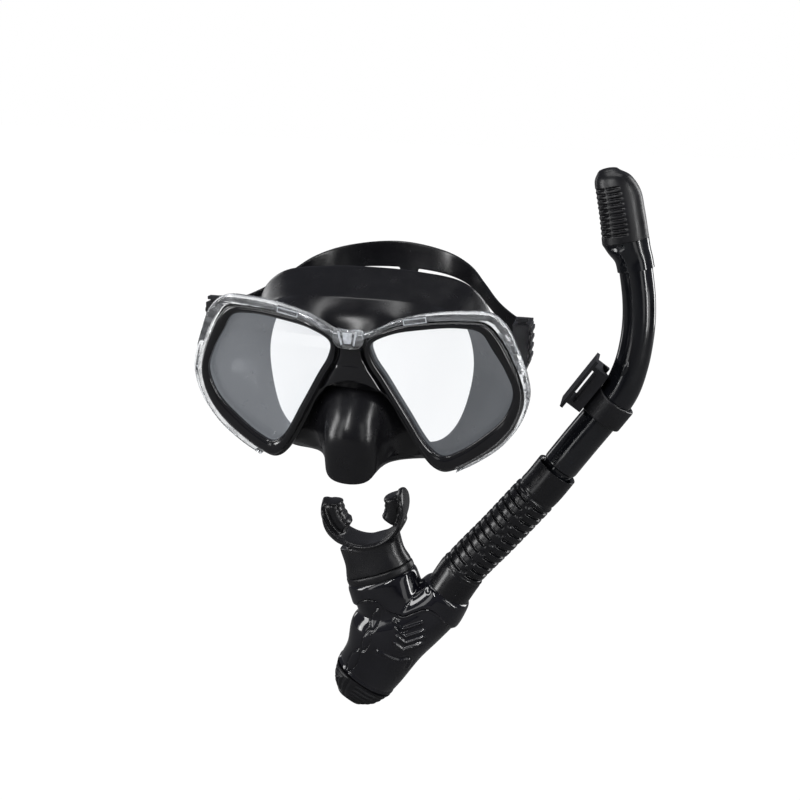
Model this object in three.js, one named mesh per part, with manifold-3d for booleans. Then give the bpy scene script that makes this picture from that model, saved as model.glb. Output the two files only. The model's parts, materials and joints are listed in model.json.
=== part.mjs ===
// Twin-lens dive mask with its dry-top snorkel.
// Units are millimetres. X runs to the right in the front view, Y runs back towards the wearer and
// Z is up, and the mask is symmetric about x = 0. Every dimension below is measured from a datum on
// the symmetry plane, level with the middle of the lenses. The finished model is then moved so that
// its origin lies in the middle of the flat front face of the nose bridge (BRIDGE_FACE).
// The snorkel stands in the vertical plane y = SNORKEL_Y, beside the head.

import * as THREE from 'three';
import { mergeVertices } from 'three/addons/utils/BufferGeometryUtils.js';
import Module from 'manifold-3d';

const wasm = await Module();
wasm.setup();

// ---------------------------------------------------------------- driving dimensions: mask

const GAP = 0.35;              // clearance between pieces that rest on each other
const FACE_Y = 1.5;            // depth of the lens planes where they cross the datum height
const FACE_YAW = 0.18;         // how fast each lens falls back towards its temple
const FACE_PITCH = 0.22;       // how fast each lens comes forward towards the brow
const BRIDGE_FLAT = 7.5;       // half width of the flat stretch between the two lens planes

const BEZEL_FRONT = -2.2;      // depths measured back from the lens datum plane
const LENS_FRONT = 2;
const LENS_THICK = 3.2;
const FRAME_BACK = 8.5;
const TRIM_FRONT = -2.3;
const TRIM_BACK = 8;
const COVER_FRONT = -5.6;
const LENS_OVERLAP = 2.2;      // how far the glass reaches under its bezel
const SKIRT_THICK = 2.2;
const FLANGE_THICK = 1.4;
const FORK_REACH = 9;          // furthest back from the crease that lip and flange part
const SEAT_SPAN = 20;          // the skirt rim follows one lens depth this far from the middle

// Front-view outlines of the right half, as (x, z), running clockwise from the top.
const LENS_EDGE = [
  [11, 21.5], [21, 27.5], [38, 31], [56, 32.5], [66.5, 30.5], [73, 21], [80, 9], [84, -3],
  [79.5, -17.5], [67, -30.5], [56, -38.5], [48, -41.5], [41, -36.5], [29, -16], [18.5, 3], [12.2, 14],
];
const BEZEL_EDGE = [
  [8.6, 23.5], [21, 30.8], [38, 34.3], [57, 35.8], [69, 34.8], [76, 27.5], [82, 16.5], [86.8, 5],
  [88.8, -6], [86, -19.5], [78, -32], [65.5, -42.5], [55, -48.8], [48.5, -50.5], [43, -47.5],
  [36, -37], [25.5, -18.5], [14.5, 1.5], [8.4, 13],
];
const FRAME_EDGE = [
  [0, 23], [11, 26], [22, 31.8], [38, 35.3], [57, 36.8], [70, 35.8], [77, 28.3], [83, 17], [88, 5],
  [90, -6], [87, -20], [79, -33], [66, -43.7], [55, -50.2], [48, -52], [42, -49], [34, -38],
  [25, -21.5], [19.5, -11], [11, -2.8], [0, 0],
];
const TRIM_EDGE = [
  [0, 27.2], [8.8, 28], [22, 34.6], [40, 39.5], [58, 41.3], [72, 40.6], [80.5, 33], [86.5, 20],
  [91, 7], [93, -6], [89.6, -20.9], [80.6, -34.3], [67.1, -45.1], [55.6, -51.4],
];
const TRIM_END = 13;           // the trim stops at this point of FRAME_EDGE
const BRIDGE_WEB = [[0, 18.8], [6.4, 18.8], [7.4, 13], [13.6, 1.6], [19.2, -8.4], [11, -2.5], [0, 0.3]];
const BRIDGE_WEB_FRONT = -0.8;
const BRIDGE_PAD = [[0, 18.4], [6, 18.4], [7.2, 12], [0, 12]];   // flat raised pad on the web
const BRIDGE_PAD_FRONT = -1.2;
const BRIDGE_COVER = [[0, 30], [7.4, 30], [8, 25], [6.4, 20.8], [0, 19.4]];

// Skirt control net. Each station is a slice through the silicone wall: front rim behind the frame,
// middle of the wall, crease, tip of the outer sealing flange, tip of the inner lip, as (x, y, z).
const SKIRT_STATIONS = [
  [[0, 7, 21], [0, 14, 31], [0, 22, 39.5], [0, 48, 53.5], [0, 44, 40]],
  [[24, 9.5, 30], [24, 16, 34.5], [24, 23, 39.2], [25, 48.5, 52.5], [25, 45, 40]],
  [[45, 13, 33.5], [44, 19, 35.5], [42, 26, 37], [51, 50, 47.8], [42, 46, 36]],
  [[64.5, 18, 31.5], [60.5, 25, 30.5], [56, 33, 29], [62.5, 52, 37], [52, 47, 27]],
  [[82, 26, 4], [73, 33, 7], [65, 40, 9], [69, 57, 12], [58, 48, 8]],
  [[85.5, 31, -15], [75.5, 36, -14], [64, 41, -13], [68, 57, -14], [56.5, 48, -13]],
  [[73, 31.5, -34.5], [66, 35, -34], [59, 38.5, -33], [62, 53, -36], [50, 46, -32]],
  [[50, 30.5, -47.5], [49, 32, -46], [47.5, 36, -43.5], [47, 47, -49], [42, 44, -40]],
  [[36.5, 24, -37], [35, 30, -41], [32, 33, -44.5], [31, 42, -50], [30, 40, -41]],
  [[27.5, 20, -23], [24, 25, -38], [23, 29, -45.5], [23, 40, -50.5], [21, 37, -42.5]],
  [[19, 16.5, -12.6], [14.8, 8, -30], [13.8, 12, -46], [17, 37, -50], [14, 34, -43]],
  [[9.5, 12.5, -3.4], [10.2, -2.5, -27], [9.4, 1.5, -52.5], [9, 36, -49.5], [8, 32, -43.5]],
  [[0, 12, -1.1], [0, -6.5, -25], [0, 0.5, -54.5], [0, 35, -49], [0, 31, -44]],
];

// Strap: half of the band, from the buckle roller to the middle of the back, as
// (x, y, z of the middle line, half height).
const STRAP_STATIONS = [
  [84.5, 49.6, 20, 9.3], [80.5, 57, 20.5, 9.5], [68, 70, 25, 10.5], [57, 86, 31, 12.3],
  [46.4, 100, 35.8, 15], [30, 112, 38.6, 17.8], [0, 118.5, 39.4, 20.5],
];
const STRAP_THICK = 1.8;
const ROLLER_TO_BAND = 1.6;    // straight stretch of the loop behind the roller
const STRAP_SLOTS = { spans: [[0.19, 0.468], [0.493, 0.81]], share: 0.23 };   // along and across the band
const BUCKLE_PIVOT_Y = 33;
const BUCKLE_PIVOT_Z = 20;
const BUCKLE = {
  bracket: 78.4, ear: 3.6, inner: 80.8, outer: 89.6, front: 28, head: 38, back: 50.5, plate: 2, cheek: 1.2,
};
const BUTTON = {               // spans in x and y, and in height above the pivot
  stem: [[83.4, 87.6], [29.9, 31.8], [7, 14]], cap: [[82, 88.8], [28.6, 33.4], [13.5, 15.2]],
  room: 0.4, floor: 4,
};
const PIN_RADIUS = 1.5;
const ROLLER = { x: 84.5, y: 46.5, r: 1.5, half: 9.6 };

// ---------------------------------------------------------------- driving dimensions: snorkel

const SNORKEL_Y = 80;
const BARREL_WALL = 1.7;
const BARREL_ANGLE = 56.5;     // slope of the straight lower barrel, degrees from horizontal
// Keeper and clip, measured across and along the barrel from the middle of the sleeve at (x, z).
const KEEPER = {
  x: 132.4, z: -23.1, outer: 13, bore: 10.6 + GAP, half: 7, rail: [-16.2, -14.2], railHalf: 9, webHalf: 6,
};
const CLIP = {
  half: 11.6, channel: [-18.1, -12.2], ends: [-9, 17], plate: [-23.2, -21.4],
  plateEnds: [-13, 20], post: 2.5,
};
// Centre line as (x, z) with the outer radius there.
const BARREL_LINE = [
  [102.4, -68.3, 9.4], [107.9, -60, 9.4], [108.3, -59.4, 10.6], [117.7, -45.2, 10.6], [135.4, -18.5, 10.5],
  [140, -9.5, 10.2], [143.6, 3, 9.6], [145.4, 16, 9.3], [145.8, 29, 9.2],
  [144.7, 42, 9.2], [141.6, 58.6, 9.2],
];
const HOSE_LINE = [[106.3, -62.4], [99.4, -72.8], [93.8, -80], [74.8, -104.8], [54.8, -130], [45.6, -145.8]];
const HOSE_RIBS = 12;
const HOSE = { rib: 13.2, root: 11.6, bore: 10.4, top: 12.6, bottom: 13.9 };
const HOSE_RIB_SPAN = [0.2, 0.83];   // stretch of the hose that carries ribs

const MAIN_ANGLE = 59;         // slope of the chamber's long axis
const NECK_ANGLE = 111.7;      // direction in which the mouthpiece neck points
// Rings as (x, z, half width in the plane, half depth).
const CHAMBER_RINGS = [
  [45.2, -146.4, 14, 14], [38, -156.5, 16.6, 15.5], [25, -168, 20, 17], [9.4, -179.5, 24.8, 17.6],
  [1.7, -198, 21, 17.4], [-4.6, -208.6, 19.8, 16.6],
];
const GRILLE_RINGS = [[-4.9, -209.1, 19.6, 16.4], [-9.5, -216.8, 16.2, 14.2], [-13.2, -223, 9.5, 9.5]];
const NECK_RINGS = [
  [14, -168, 20, 14.5], [9, -155, 21, 14.5], [4, -141.6, 20.8, 13.2], [3.7, -141, 19, 11.6],
  [0.9, -133, 19, 11.6]];
const CLAMP_RINGS = [[3.6, -140.5, 21.4, 14], [2.1, -136.8, 21.4, 14]];
const MOUTH_NECK_RINGS = [[1.9, -136.3, 21.2, 13.7], [-0.8, -129, 19.6, 12.6], [-4.5, -117, 18.4, 12]];
const CHAMBER_WALL = 2.2;
const COVER_SPLIT_Z = -158;    // height of the joint between chamber body and chamber cover
const SHIELD = { x: -8, z: -95, r: 24.5, thick: 3.4, half: 13, from: 178, to: 388 };
const TABS = { reach: 7, width: 14, turns: [26, -34] };   // bite tabs inside the two shield ends
const PURGE = { x: 1.7, z: -198, outer: 14.6, port: 9, membrane: 11.5, thick: 1.8 };
const SLITS = { pitch: 4.5, half: 1.1, long: 13.5, short: 9 };

const DRY = { x: 141.2, z: 60.4, angle: 103 };
// Dry-top rings as (height along its axis, offset of the centre, half width, half depth).
const BASE_RINGS = [[-3, 0, 10.2, 10.2], [3, -0.4, 10.4, 10.2], [8, -2, 11.6, 11], [13.4, -3.3, 12.9, 11.7]];
const SHROUD_RINGS = [
  [13.8, -3.3, 12.9, 11.7], [28, -3, 12.5, 11.6], [40, -3.3, 12, 11], [48.5, -5.2, 9.8, 8.8],
  [53.6, -7, 5.7, 5],
];
const SHROUD_SLOT = { first: 18, pitch: 3.1, high: 1.5, inner: -1, outer: 7.5, narrowing: 0.3 };
const SHROUD_WALL = 1.7;
const SHROUD_SLOTS = 9;
const VALVE_TUBE = { w: 1, r: 6, bore: 4.8, from: 9, to: 27 };
const FLAP = { hinge: -6.4, height: 29.4, open: 40 };

const RIM_SEGMENTS = 36;       // points around a lens or bezel outline
const ROUND = 20;              // points around a tube

// ---------------------------------------------------------------- materials

function material(name, colour, roughness, opacity = 1) {
  const made = new THREE.MeshStandardMaterial({ name, color: colour, roughness, metalness: 0 });
  made.transparent = opacity < 1;
  made.opacity = opacity;
  return made;
}

const BLACK_GLOSS = material('black_gloss', 0x101013, 0.12);
const BLACK_MATTE = material('black_matte', 0x151517, 0.5);
const SILICONE = material('black_silicone', 0x17181b, 0.35);
const CLEAR = material('clear_plastic', 0xe8ecf0, 0.08, 0.4);
const GLASS = material('tempered_glass', 0xdfe6ea, 0.02, 0.25);
const STEEL = material('steel_pin', 0xb8bbc0, 0.3);
STEEL.metalness = 1;

// ---------------------------------------------------------------- solids

// A solid through rings of points that all have the same count. Without a loop both ends are closed
// by a fan; with a loop the last ring joins the first, which makes tubes and shells.
function loft(rings, loop = false) {
  const count = rings[0].length;
  const points = rings.flat();
  const faces = [];
  const joins = loop ? rings.length : rings.length - 1;
  for (let i = 0; i < joins; i += 1) {
    const here = i * count;
    const next = ((i + 1) % rings.length) * count;
    for (let k = 0; k < count; k += 1) {
      const n = (k + 1) % count;
      faces.push(here + k, here + n, next + n, here + k, next + n, next + k);
    }
  }
  if (!loop) {
    for (const [ring, turned] of [[0, true], [rings.length - 1, false]]) {
      const centre = rings[ring].reduce((sum, p) => sum.add(p), new THREE.Vector3()).divideScalar(count);
      const hub = points.push(centre) - 1;
      for (let k = 0; k < count; k += 1) {
        const a = ring * count + k;
        const b = ring * count + ((k + 1) % count);
        faces.push(...(turned ? [hub, b, a] : [hub, a, b]));
      }
    }
  }
  const geometry = new THREE.BufferGeometry().setFromPoints(points);
  geometry.setIndex(faces);
  return faceOutward(geometry);
}

// Turns every face round when the enclosed volume comes out negative.
function faceOutward(geometry) {
  const place = geometry.attributes.position;
  const index = geometry.index.array;
  const [a, b, c] = [new THREE.Vector3(), new THREE.Vector3(), new THREE.Vector3()];
  let volume = 0;
  for (let i = 0; i < index.length; i += 3) {
    a.fromBufferAttribute(place, index[i]);
    b.fromBufferAttribute(place, index[i + 1]);
    c.fromBufferAttribute(place, index[i + 2]);
    volume += a.dot(b.cross(c));
  }
  if (volume < 0) {
    for (let i = 0; i < index.length; i += 3) {
      [index[i + 1], index[i + 2]] = [index[i + 2], index[i + 1]];
    }
  }
  return geometry;
}

function toSolid(geometry) {
  const bare = geometry.clone();
  bare.deleteAttribute('normal');
  bare.deleteAttribute('uv');
  const merged = mergeVertices(bare, 1e-4);
  return new wasm.Manifold(new wasm.Mesh({
    numProp: 3,
    vertProperties: new Float32Array(merged.attributes.position.array),
    triVerts: new Uint32Array(merged.index.array),
  }));
}

function toGeometry(solid) {
  const mesh = solid.getMesh();
  const geometry = new THREE.BufferGeometry();
  geometry.setAttribute('position', new THREE.BufferAttribute(mesh.vertProperties, 3));
  geometry.setIndex(new THREE.BufferAttribute(mesh.triVerts, 1));
  return geometry;
}

function join(...geometries) {
  return toGeometry(geometries.map(toSolid).reduce((whole, next) => whole.add(next)));
}

function cut(geometry, ...cutters) {
  return toGeometry(cutters.map(toSolid).reduce((whole, next) => whole.subtract(next), toSolid(geometry)));
}

function piece(name, geometry, look) {
  const mesh = new THREE.Mesh(geometry, look.clone());
  mesh.name = name;
  return mesh;
}

function box(xs, ys, zs) {
  const geometry = new THREE.BoxGeometry(xs[1] - xs[0], ys[1] - ys[0], zs[1] - zs[0]);
  return geometry.translate((xs[0] + xs[1]) / 2, (ys[0] + ys[1]) / 2, (zs[0] + zs[1]) / 2);
}

// A cylinder whose axis runs along one world axis between two places on it.
function rod(radius, axis, from, to, at) {
  const geometry = new THREE.CylinderGeometry(radius, radius, to - from, ROUND);
  if (axis === 'x') geometry.rotateZ(Math.PI / 2);
  if (axis === 'z') geometry.rotateX(Math.PI / 2);
  const middle = { x: at[0], y: at[1], z: at[2] };
  middle[axis] = (from + to) / 2;
  return geometry.translate(middle.x, middle.y, middle.z);
}

function mirrored(geometry) {
  const copy = geometry.clone().scale(-1, 1, 1);
  const index = copy.index.array;
  for (let i = 0; i < index.length; i += 3) {
    [index[i + 1], index[i + 2]] = [index[i + 2], index[i + 1]];
  }
  return copy;
}

// ---------------------------------------------------------------- mask outlines

function faceDepth(x, z) {
  return FACE_Y + FACE_YAW * Math.max(Math.abs(x), BRIDGE_FLAT) - FACE_PITCH * z;
}

function closedOutline(points, count) {
  const path = points.map(([x, z]) => new THREE.Vector3(x, z, 0));
  const curve = new THREE.CatmullRomCurve3(path, true, 'centripetal');
  return curve.getSpacedPoints(count).slice(0, -1).map((p) => new THREE.Vector2(p.x, p.y));
}

// Samples a right-half outline that starts and ends on x = 0 or at a free end.
function halfOutline(points, count) {
  const path = points.map(([x, z]) => new THREE.Vector3(x, z, 0));
  const curve = new THREE.CatmullRomCurve3(path, false, 'centripetal');
  return curve.getPoints(count).map((p) => new THREE.Vector2(p.x, p.y));
}

function bothHalves(right) {
  const left = right.filter((p) => p.x > 1e-6).map((p) => new THREE.Vector2(-p.x, p.y)).reverse();
  return [...right, ...left];
}

// The full outline of a piece with straight edges, from its right half.
function straightOutline(points) {
  return bothHalves(points.map(([x, z]) => new THREE.Vector2(x, z)));
}

// Moves every point of a closed outline along its own outward normal.
function grown(outline, distance) {
  const clockwise = THREE.ShapeUtils.isClockWise(outline);
  return outline.map((p, i) => {
    const before = outline[(i + outline.length - 1) % outline.length];
    const after = outline[(i + 1) % outline.length];
    const along = after.clone().sub(before).normalize();
    const out = clockwise ? new THREE.Vector2(-along.y, along.x) : new THREE.Vector2(along.y, -along.x);
    return p.clone().addScaledVector(out, distance);
  });
}

// Extrudes a front-view outline between two depths, before it is laid on the sloping lens planes.
function flatPlate(outline, holes, from, to) {
  const anticlockwise = (points) => (THREE.ShapeUtils.isClockWise(points) ? [...points].reverse() : points);
  const shape = new THREE.Shape(anticlockwise(outline));
  shape.holes = holes.map((hole) => new THREE.Path([...anticlockwise(hole)].reverse()));
  const geometry = new THREE.ExtrudeGeometry(shape, { depth: to - from, bevelEnabled: false });
  geometry.deleteAttribute('normal');
  geometry.deleteAttribute('uv');
  return mergeVertices(geometry.rotateX(Math.PI / 2).translate(0, to, 0), 1e-4);
}

function laidOnFace(geometry) {
  const place = geometry.attributes.position;
  for (let i = 0; i < place.count; i += 1) {
    place.setY(i, place.getY(i) + faceDepth(place.getX(i), place.getZ(i)));
  }
  return geometry;
}

function facePlate(outline, holes, from, to) {
  return laidOnFace(flatPlate(outline, holes, from, to));
}

const lensEdge = closedOutline(LENS_EDGE, RIM_SEGMENTS);
const bezelEdge = closedOutline(BEZEL_EDGE, RIM_SEGMENTS);
const frameEdge = bothHalves(halfOutline(FRAME_EDGE, 44));
const flip = (outline) => outline.map((p) => new THREE.Vector2(-p.x, p.y));

// ---------------------------------------------------------------- mask pieces

function mainFrame() {
  const pocket = grown(lensEdge, LENS_OVERLAP + GAP);
  const seat = grown(lensEdge, GAP);
  const front = flatPlate(frameEdge, [pocket, flip(pocket)], LENS_FRONT, FRAME_BACK - 1.2);
  const lensBack = LENS_FRONT + LENS_THICK + GAP;
  const back = flatPlate(grown(frameEdge, -0.6), [seat, flip(seat)], lensBack, FRAME_BACK);
  const web = flatPlate(straightOutline(BRIDGE_WEB), [], BRIDGE_WEB_FRONT, LENS_FRONT + 1);
  const pad = flatPlate(straightOutline(BRIDGE_PAD), [], BRIDGE_PAD_FRONT, LENS_FRONT);
  return laidOnFace(join(front, back, web, pad));
}

function clearTrim() {
  const outer = halfOutline(TRIM_EDGE, 32);
  const inner = halfOutline(FRAME_EDGE.slice(0, TRIM_END + 1), 32);
  const shifted = grown([...inner, ...flip(inner).reverse()], GAP).slice(0, inner.length);
  shifted[0].x = 0;
  const right = [...outer, ...shifted.reverse()];
  const left = flip(right).reverse();
  return facePlate([...right.slice(0, -1), ...left.slice(0, -1)], [], TRIM_FRONT, TRIM_BACK);
}

function bridgeCover() {
  return facePlate(straightOutline(BRIDGE_COVER), [], COVER_FRONT, TRIM_FRONT - GAP);
}

// One row of the skirt net, as a closed ring through both halves.
function skirtRow(row, count) {
  const right = SKIRT_STATIONS.map((station) => new THREE.Vector3(...station[row]));
  const left = right.slice(1, -1).map((p) => new THREE.Vector3(-p.x, p.y, p.z)).reverse();
  return new THREE.CatmullRomCurve3([...right, ...left], true, 'centripetal').getPoints(count).slice(0, -1);
}

// Shifts a row out of the cavity, square to the surface that it shares with its neighbour row.
function raised(row, neighbour, distance) {
  return row.map((p, i) => {
    const along = row[(i + 1) % row.length].clone().sub(row[(i + row.length - 1) % row.length]);
    const across = neighbour[i].clone().sub(p);
    return p.clone().addScaledVector(along.cross(across).normalize(), distance);
  });
}

// Lays a row flat on the back of the frame.
function seated(row) {
  const depth = FRAME_BACK + GAP;
  return row.map((p) => (
    new THREE.Vector3(p.x, faceDepth(Math.max(Math.abs(p.x), SEAT_SPAN), p.z) + depth, p.z)));
}

// Where the back of the sealing lip leaves the inner face of the flange.
function fork(crease, tip, lip) {
  return crease.map((p, i) => {
    const flange = tip[i].clone().sub(p).normalize();
    const seal = lip[i].clone().sub(p).normalize();
    const reach = FLANGE_THICK / flange.clone().cross(seal).length();
    return p.clone().addScaledVector(flange, Math.min(reach, FORK_REACH));
  });
}

// A wall behind the frame that splits at its crease into an inner sealing lip and an outer flange.
function skirt() {
  const [front, wall, crease, tip, lip] = [0, 1, 2, 3, 4].map((row) => skirtRow(row, 52));
  return loft([
    seated(front), wall, crease, lip, raised(lip, crease, -FLANGE_THICK), fork(crease, tip, lip),
    tip, raised(tip, crease, -FLANGE_THICK), raised(crease, tip, SKIRT_THICK),
    raised(wall, crease, SKIRT_THICK), seated(raised(front, wall, SKIRT_THICK)),
  ], true);
}

function strapCurve() {
  const right = STRAP_STATIONS.map(([x, y, z]) => new THREE.Vector3(x, y, z));
  const left = right.slice(0, -1).map((p) => new THREE.Vector3(-p.x, p.y, p.z)).reverse();
  return new THREE.CatmullRomCurve3([...right, ...left], false, 'centripetal');
}

// Half height of the band at a point of its curve, by distance from the middle of the back.
function strapHalfHeight(t) {
  const heights = STRAP_STATIONS.map((station) => station[3]);
  const steps = heights.length - 1;
  const place = (1 - Math.abs(2 * t - 1)) * steps;
  const low = Math.min(Math.floor(place), steps - 1);
  return THREE.MathUtils.lerp(heights[low], heights[low + 1], place - low);
}

function band(from, to, steps, thickness, share) {
  const curve = strapCurve();
  const rings = [];
  for (let i = 0; i <= steps; i += 1) {
    const t = from + ((to - from) * i) / steps;
    const middle = curve.getPoint(t);
    const along = curve.getTangent(t);
    const out = new THREE.Vector3(along.y, -along.x, 0).normalize().multiplyScalar(thickness / 2);
    const up = new THREE.Vector3(0, 0, strapHalfHeight(t) * share);
    rings.push([[1, 1], [-1, 1], [-1, -1], [1, -1]].map(([o, u]) => (
      middle.clone().addScaledVector(out, o).addScaledVector(up, u))));
  }
  return loft(rings);
}

// Each strap end wraps round its buckle roller and comes back to the band.
function strapLoop(side) {
  const inner = ROLLER.r + GAP;
  const outer = inner + STRAP_THICK;
  const [, , middle, half] = STRAP_STATIONS[0];
  const stadium = (r) => {
    const shape = new THREE.Shape();
    shape.absarc(0, 0, r, Math.PI, 2 * Math.PI, false);
    shape.absarc(0, ROLLER_TO_BAND, r, 0, Math.PI, false);
    return shape;
  };
  const shape = stadium(outer);
  shape.holes = [stadium(inner)];
  const settings = { depth: 2 * half, bevelEnabled: false, curveSegments: 6 };
  const geometry = new THREE.ExtrudeGeometry(shape, settings);
  return geometry.translate(side * ROLLER.x, ROLLER.y, middle - half);
}

function strap() {
  const slots = STRAP_SLOTS.spans.map(([from, to]) => (
    band(from, to, 12, STRAP_THICK * 4, STRAP_SLOTS.share)));
  return join(cut(band(0, 1, 40, STRAP_THICK, 1), ...slots), strapLoop(1), strapLoop(-1));
}

const onPivot = (radius, from, to) => rod(radius, 'x', from, to, [0, BUCKLE_PIVOT_Y, BUCKLE_PIVOT_Z]);
const besidePivot = (low, high) => [BUCKLE_PIVOT_Z + low, BUCKLE_PIVOT_Z + high];

// A foot on the sloping back of the frame and an ear that carries the pivot.
function buckleBracket() {
  const { bracket, ear, inner, head } = BUCKLE;
  const [low, high] = besidePivot(-ear, ear);
  const side = inner - GAP;
  const corners = [[bracket, low], [side, low], [side, high], [bracket, high]];
  const outline = corners.map(([x, z]) => new THREE.Vector2(x, z));
  const foot = facePlate(outline, [], FRAME_BACK + GAP, FRAME_BACK + 5);
  return cut(join(foot, box([bracket, side], [24, head], [low, high])), onPivot(PIN_RADIUS + GAP, 60, 100));
}

function bucklePin() {
  return onPivot(PIN_RADIUS, BUCKLE.bracket + 0.3, BUCKLE.outer - 0.3);
}

// The buckle: a head on the pivot, an upper and a lower plate, and an outer cheek round the roller.
function buckleBody() {
  const { inner, outer, front, head, back, plate, cheek } = BUCKLE;
  const edge = ROLLER.half + GAP;
  const top = box([inner, outer], [front, back], besidePivot(edge, edge + plate));
  const bottom = box([inner, outer], [front, back], besidePivot(-edge - plate, -edge));
  const block = box([inner, outer], [front, head], besidePivot(-edge - 1, edge + 1));
  const side = box([outer - cheek, outer], [front, back], besidePivot(-edge - 1, edge + 1));
  const loose = ([low, high]) => [low - BUTTON.room, high + BUTTON.room];
  const [stemX, stemY] = BUTTON.stem;
  const well = box(loose(stemX), loose(stemY), besidePivot(BUTTON.floor, 20));
  return cut(join(block, top, bottom, side), onPivot(PIN_RADIUS + GAP, 60, 100), well);
}

function roller() {
  const [low, high] = besidePivot(-ROLLER.half, ROLLER.half);
  return rod(ROLLER.r, 'z', low, high, [ROLLER.x, ROLLER.y, 0]);
}

// The release button: a stem in the buckle's well under a cap that stands above the upper plate.
function releaseButton() {
  return join(...[BUTTON.stem, BUTTON.cap].map(([xs, ys, zs]) => box(xs, ys, besidePivot(...zs))));
}

// ---------------------------------------------------------------- snorkel pieces

// A ring round a point of the snorkel plane, square to the direction given in degrees.
function planeRing(x, z, degrees, halfWidth, halfDepth, count = ROUND) {
  const angle = THREE.MathUtils.degToRad(degrees - 90);
  const across = new THREE.Vector3(Math.cos(angle), 0, Math.sin(angle));
  return Array.from({ length: count }, (_, k) => {
    const turn = (2 * Math.PI * k) / count;
    return new THREE.Vector3(x, SNORKEL_Y, z)
      .addScaledVector(across, halfWidth * Math.cos(turn))
      .add(new THREE.Vector3(0, halfDepth * Math.sin(turn), 0));
  });
}

function ringsAlong(rows, degrees, shrink = 0) {
  return rows.map(([x, z, a, b]) => planeRing(x, z, degrees, a - shrink, b - shrink));
}

// Direction of a centre line at each of its points, in degrees.
function lineAngles(points) {
  return points.map((_, i) => {
    const before = points[Math.max(i - 1, 0)];
    const after = points[Math.min(i + 1, points.length - 1)];
    return THREE.MathUtils.radToDeg(Math.atan2(after[1] - before[1], after[0] - before[0]));
  });
}

function barrel() {
  const angles = lineAngles(BARREL_LINE);
  angles.fill(BARREL_ANGLE, 0, 5);
  const outer = BARREL_LINE.map(([x, z, r], i) => planeRing(x, z, angles[i], r, r));
  const inner = BARREL_LINE.map(([x, z, r], i) => {
    const bore = Math.min(r, BARREL_LINE[0][2]) - BARREL_WALL;
    return planeRing(x, z, angles[i], bore, bore);
  });
  return loft([...outer, ...inner.reverse()], true);
}

function hose() {
  const path = HOSE_LINE.map(([x, z]) => new THREE.Vector3(x, 0, z));
  const line = new THREE.CatmullRomCurve3(path, false, 'centripetal');
  const [from, to] = HOSE_RIB_SPAN;
  const stops = [[0, HOSE.top], [from - 0.02, HOSE.top]];
  for (let i = 0; i < HOSE_RIBS; i += 1) {
    const at = (share) => from + ((to - from) * (i + share)) / HOSE_RIBS;
    stops.push([at(0.1), HOSE.root], [at(0.3), HOSE.rib], [at(0.65), HOSE.rib], [at(0.85), HOSE.root]);
  }
  stops.push([to + 0.015, HOSE.bottom], [1, HOSE.bottom]);
  const ringAt = (t, r) => {
    const middle = line.getPointAt(t);
    const along = line.getTangentAt(t);
    const degrees = THREE.MathUtils.radToDeg(Math.atan2(-along.z, -along.x));
    return planeRing(middle.x, middle.z, degrees, r, r);
  };
  const outer = stops.map(([t, r]) => ringAt(t, r));
  const inner = [0, 0.19, 0.5, 0.83, 1].map((t) => ringAt(t, HOSE.bore + (t > 0.8 ? 1 : 0)));
  return loft([...outer, ...inner.reverse()], true);
}

function chamberHull() {
  const neck = loft(ringsAlong(NECK_RINGS, NECK_ANGLE));
  return toSolid(join(loft(ringsAlong(CHAMBER_RINGS, MAIN_ANGLE)), neck));
}

// The air space, which stops short of the wall that carries the hose spigot.
function chamberHollow() {
  const [, ...rest] = CHAMBER_RINGS;
  const rings = [[42.6, -150.4, 14.4, 14.2], ...rest, [-6.6, -211.9, 19, 16]];
  const main = loft(ringsAlong(rings, MAIN_ANGLE, CHAMBER_WALL));
  const neck = loft(ringsAlong([...NECK_RINGS, [0.1, -131, 19, 11.6]], NECK_ANGLE, CHAMBER_WALL));
  return toSolid(join(main, neck));
}

const splitAbove = () => box([-100, 100], [0, 200], [COVER_SPLIT_Z - GAP / 2, 0]);
const splitBelow = () => box([-100, 100], [0, 200], [-400, COVER_SPLIT_Z + GAP / 2]);

function chamberBody() {
  const spigot = loft(ringsAlong([[49.8, -138.8, 10, 10], [43, -150, 10, 10]], MAIN_ANGLE));
  const hoseBore = loft(ringsAlong([[53, -133.5, 8.3, 8.3], [40, -155, 8.3, 8.3]], MAIN_ANGLE));
  const shell = chamberHull().add(toSolid(spigot)).subtract(chamberHollow());
  return toGeometry(shell.subtract(toSolid(hoseBore)).subtract(toSolid(splitBelow())));
}

function chamberCover() {
  const mouth = loft(ringsAlong([[2, -197.5, 16, 13.5], [-9, -216, 16, 13.5]], MAIN_ANGLE));
  const shell = chamberHull().subtract(chamberHollow());
  return toGeometry(shell.subtract(toSolid(mouth)).subtract(toSolid(splitAbove())));
}

// Places a geometry made round +Z at a point of the snorkel plane, pointing along an angle.
function standing(geometry, x, z, degrees) {
  const angle = THREE.MathUtils.degToRad(90 - degrees);
  return geometry.rotateY(angle).translate(x, SNORKEL_Y, z);
}

function disc(radius, from, to) {
  return new THREE.CylinderGeometry(radius, radius, to - from, ROUND).rotateX(Math.PI / 2)
    .translate(0, 0, (from + to) / 2);
}

function purgeSeat() {
  const plate = cut(disc(PURGE.outer, -PURGE.thick, 0), disc(PURGE.port, -9, 9));
  const bar = box([-PURGE.port - 1, PURGE.port + 1], [-1.2, 1.2], [-PURGE.thick, 0]);
  return standing(join(plate, bar), PURGE.x, PURGE.z, MAIN_ANGLE);
}

function purgeMembrane() {
  const sheet = disc(PURGE.membrane, -PURGE.thick - 1.2, -PURGE.thick - 0.4);
  return standing(sheet, PURGE.x, PURGE.z, MAIN_ANGLE);
}

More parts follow.
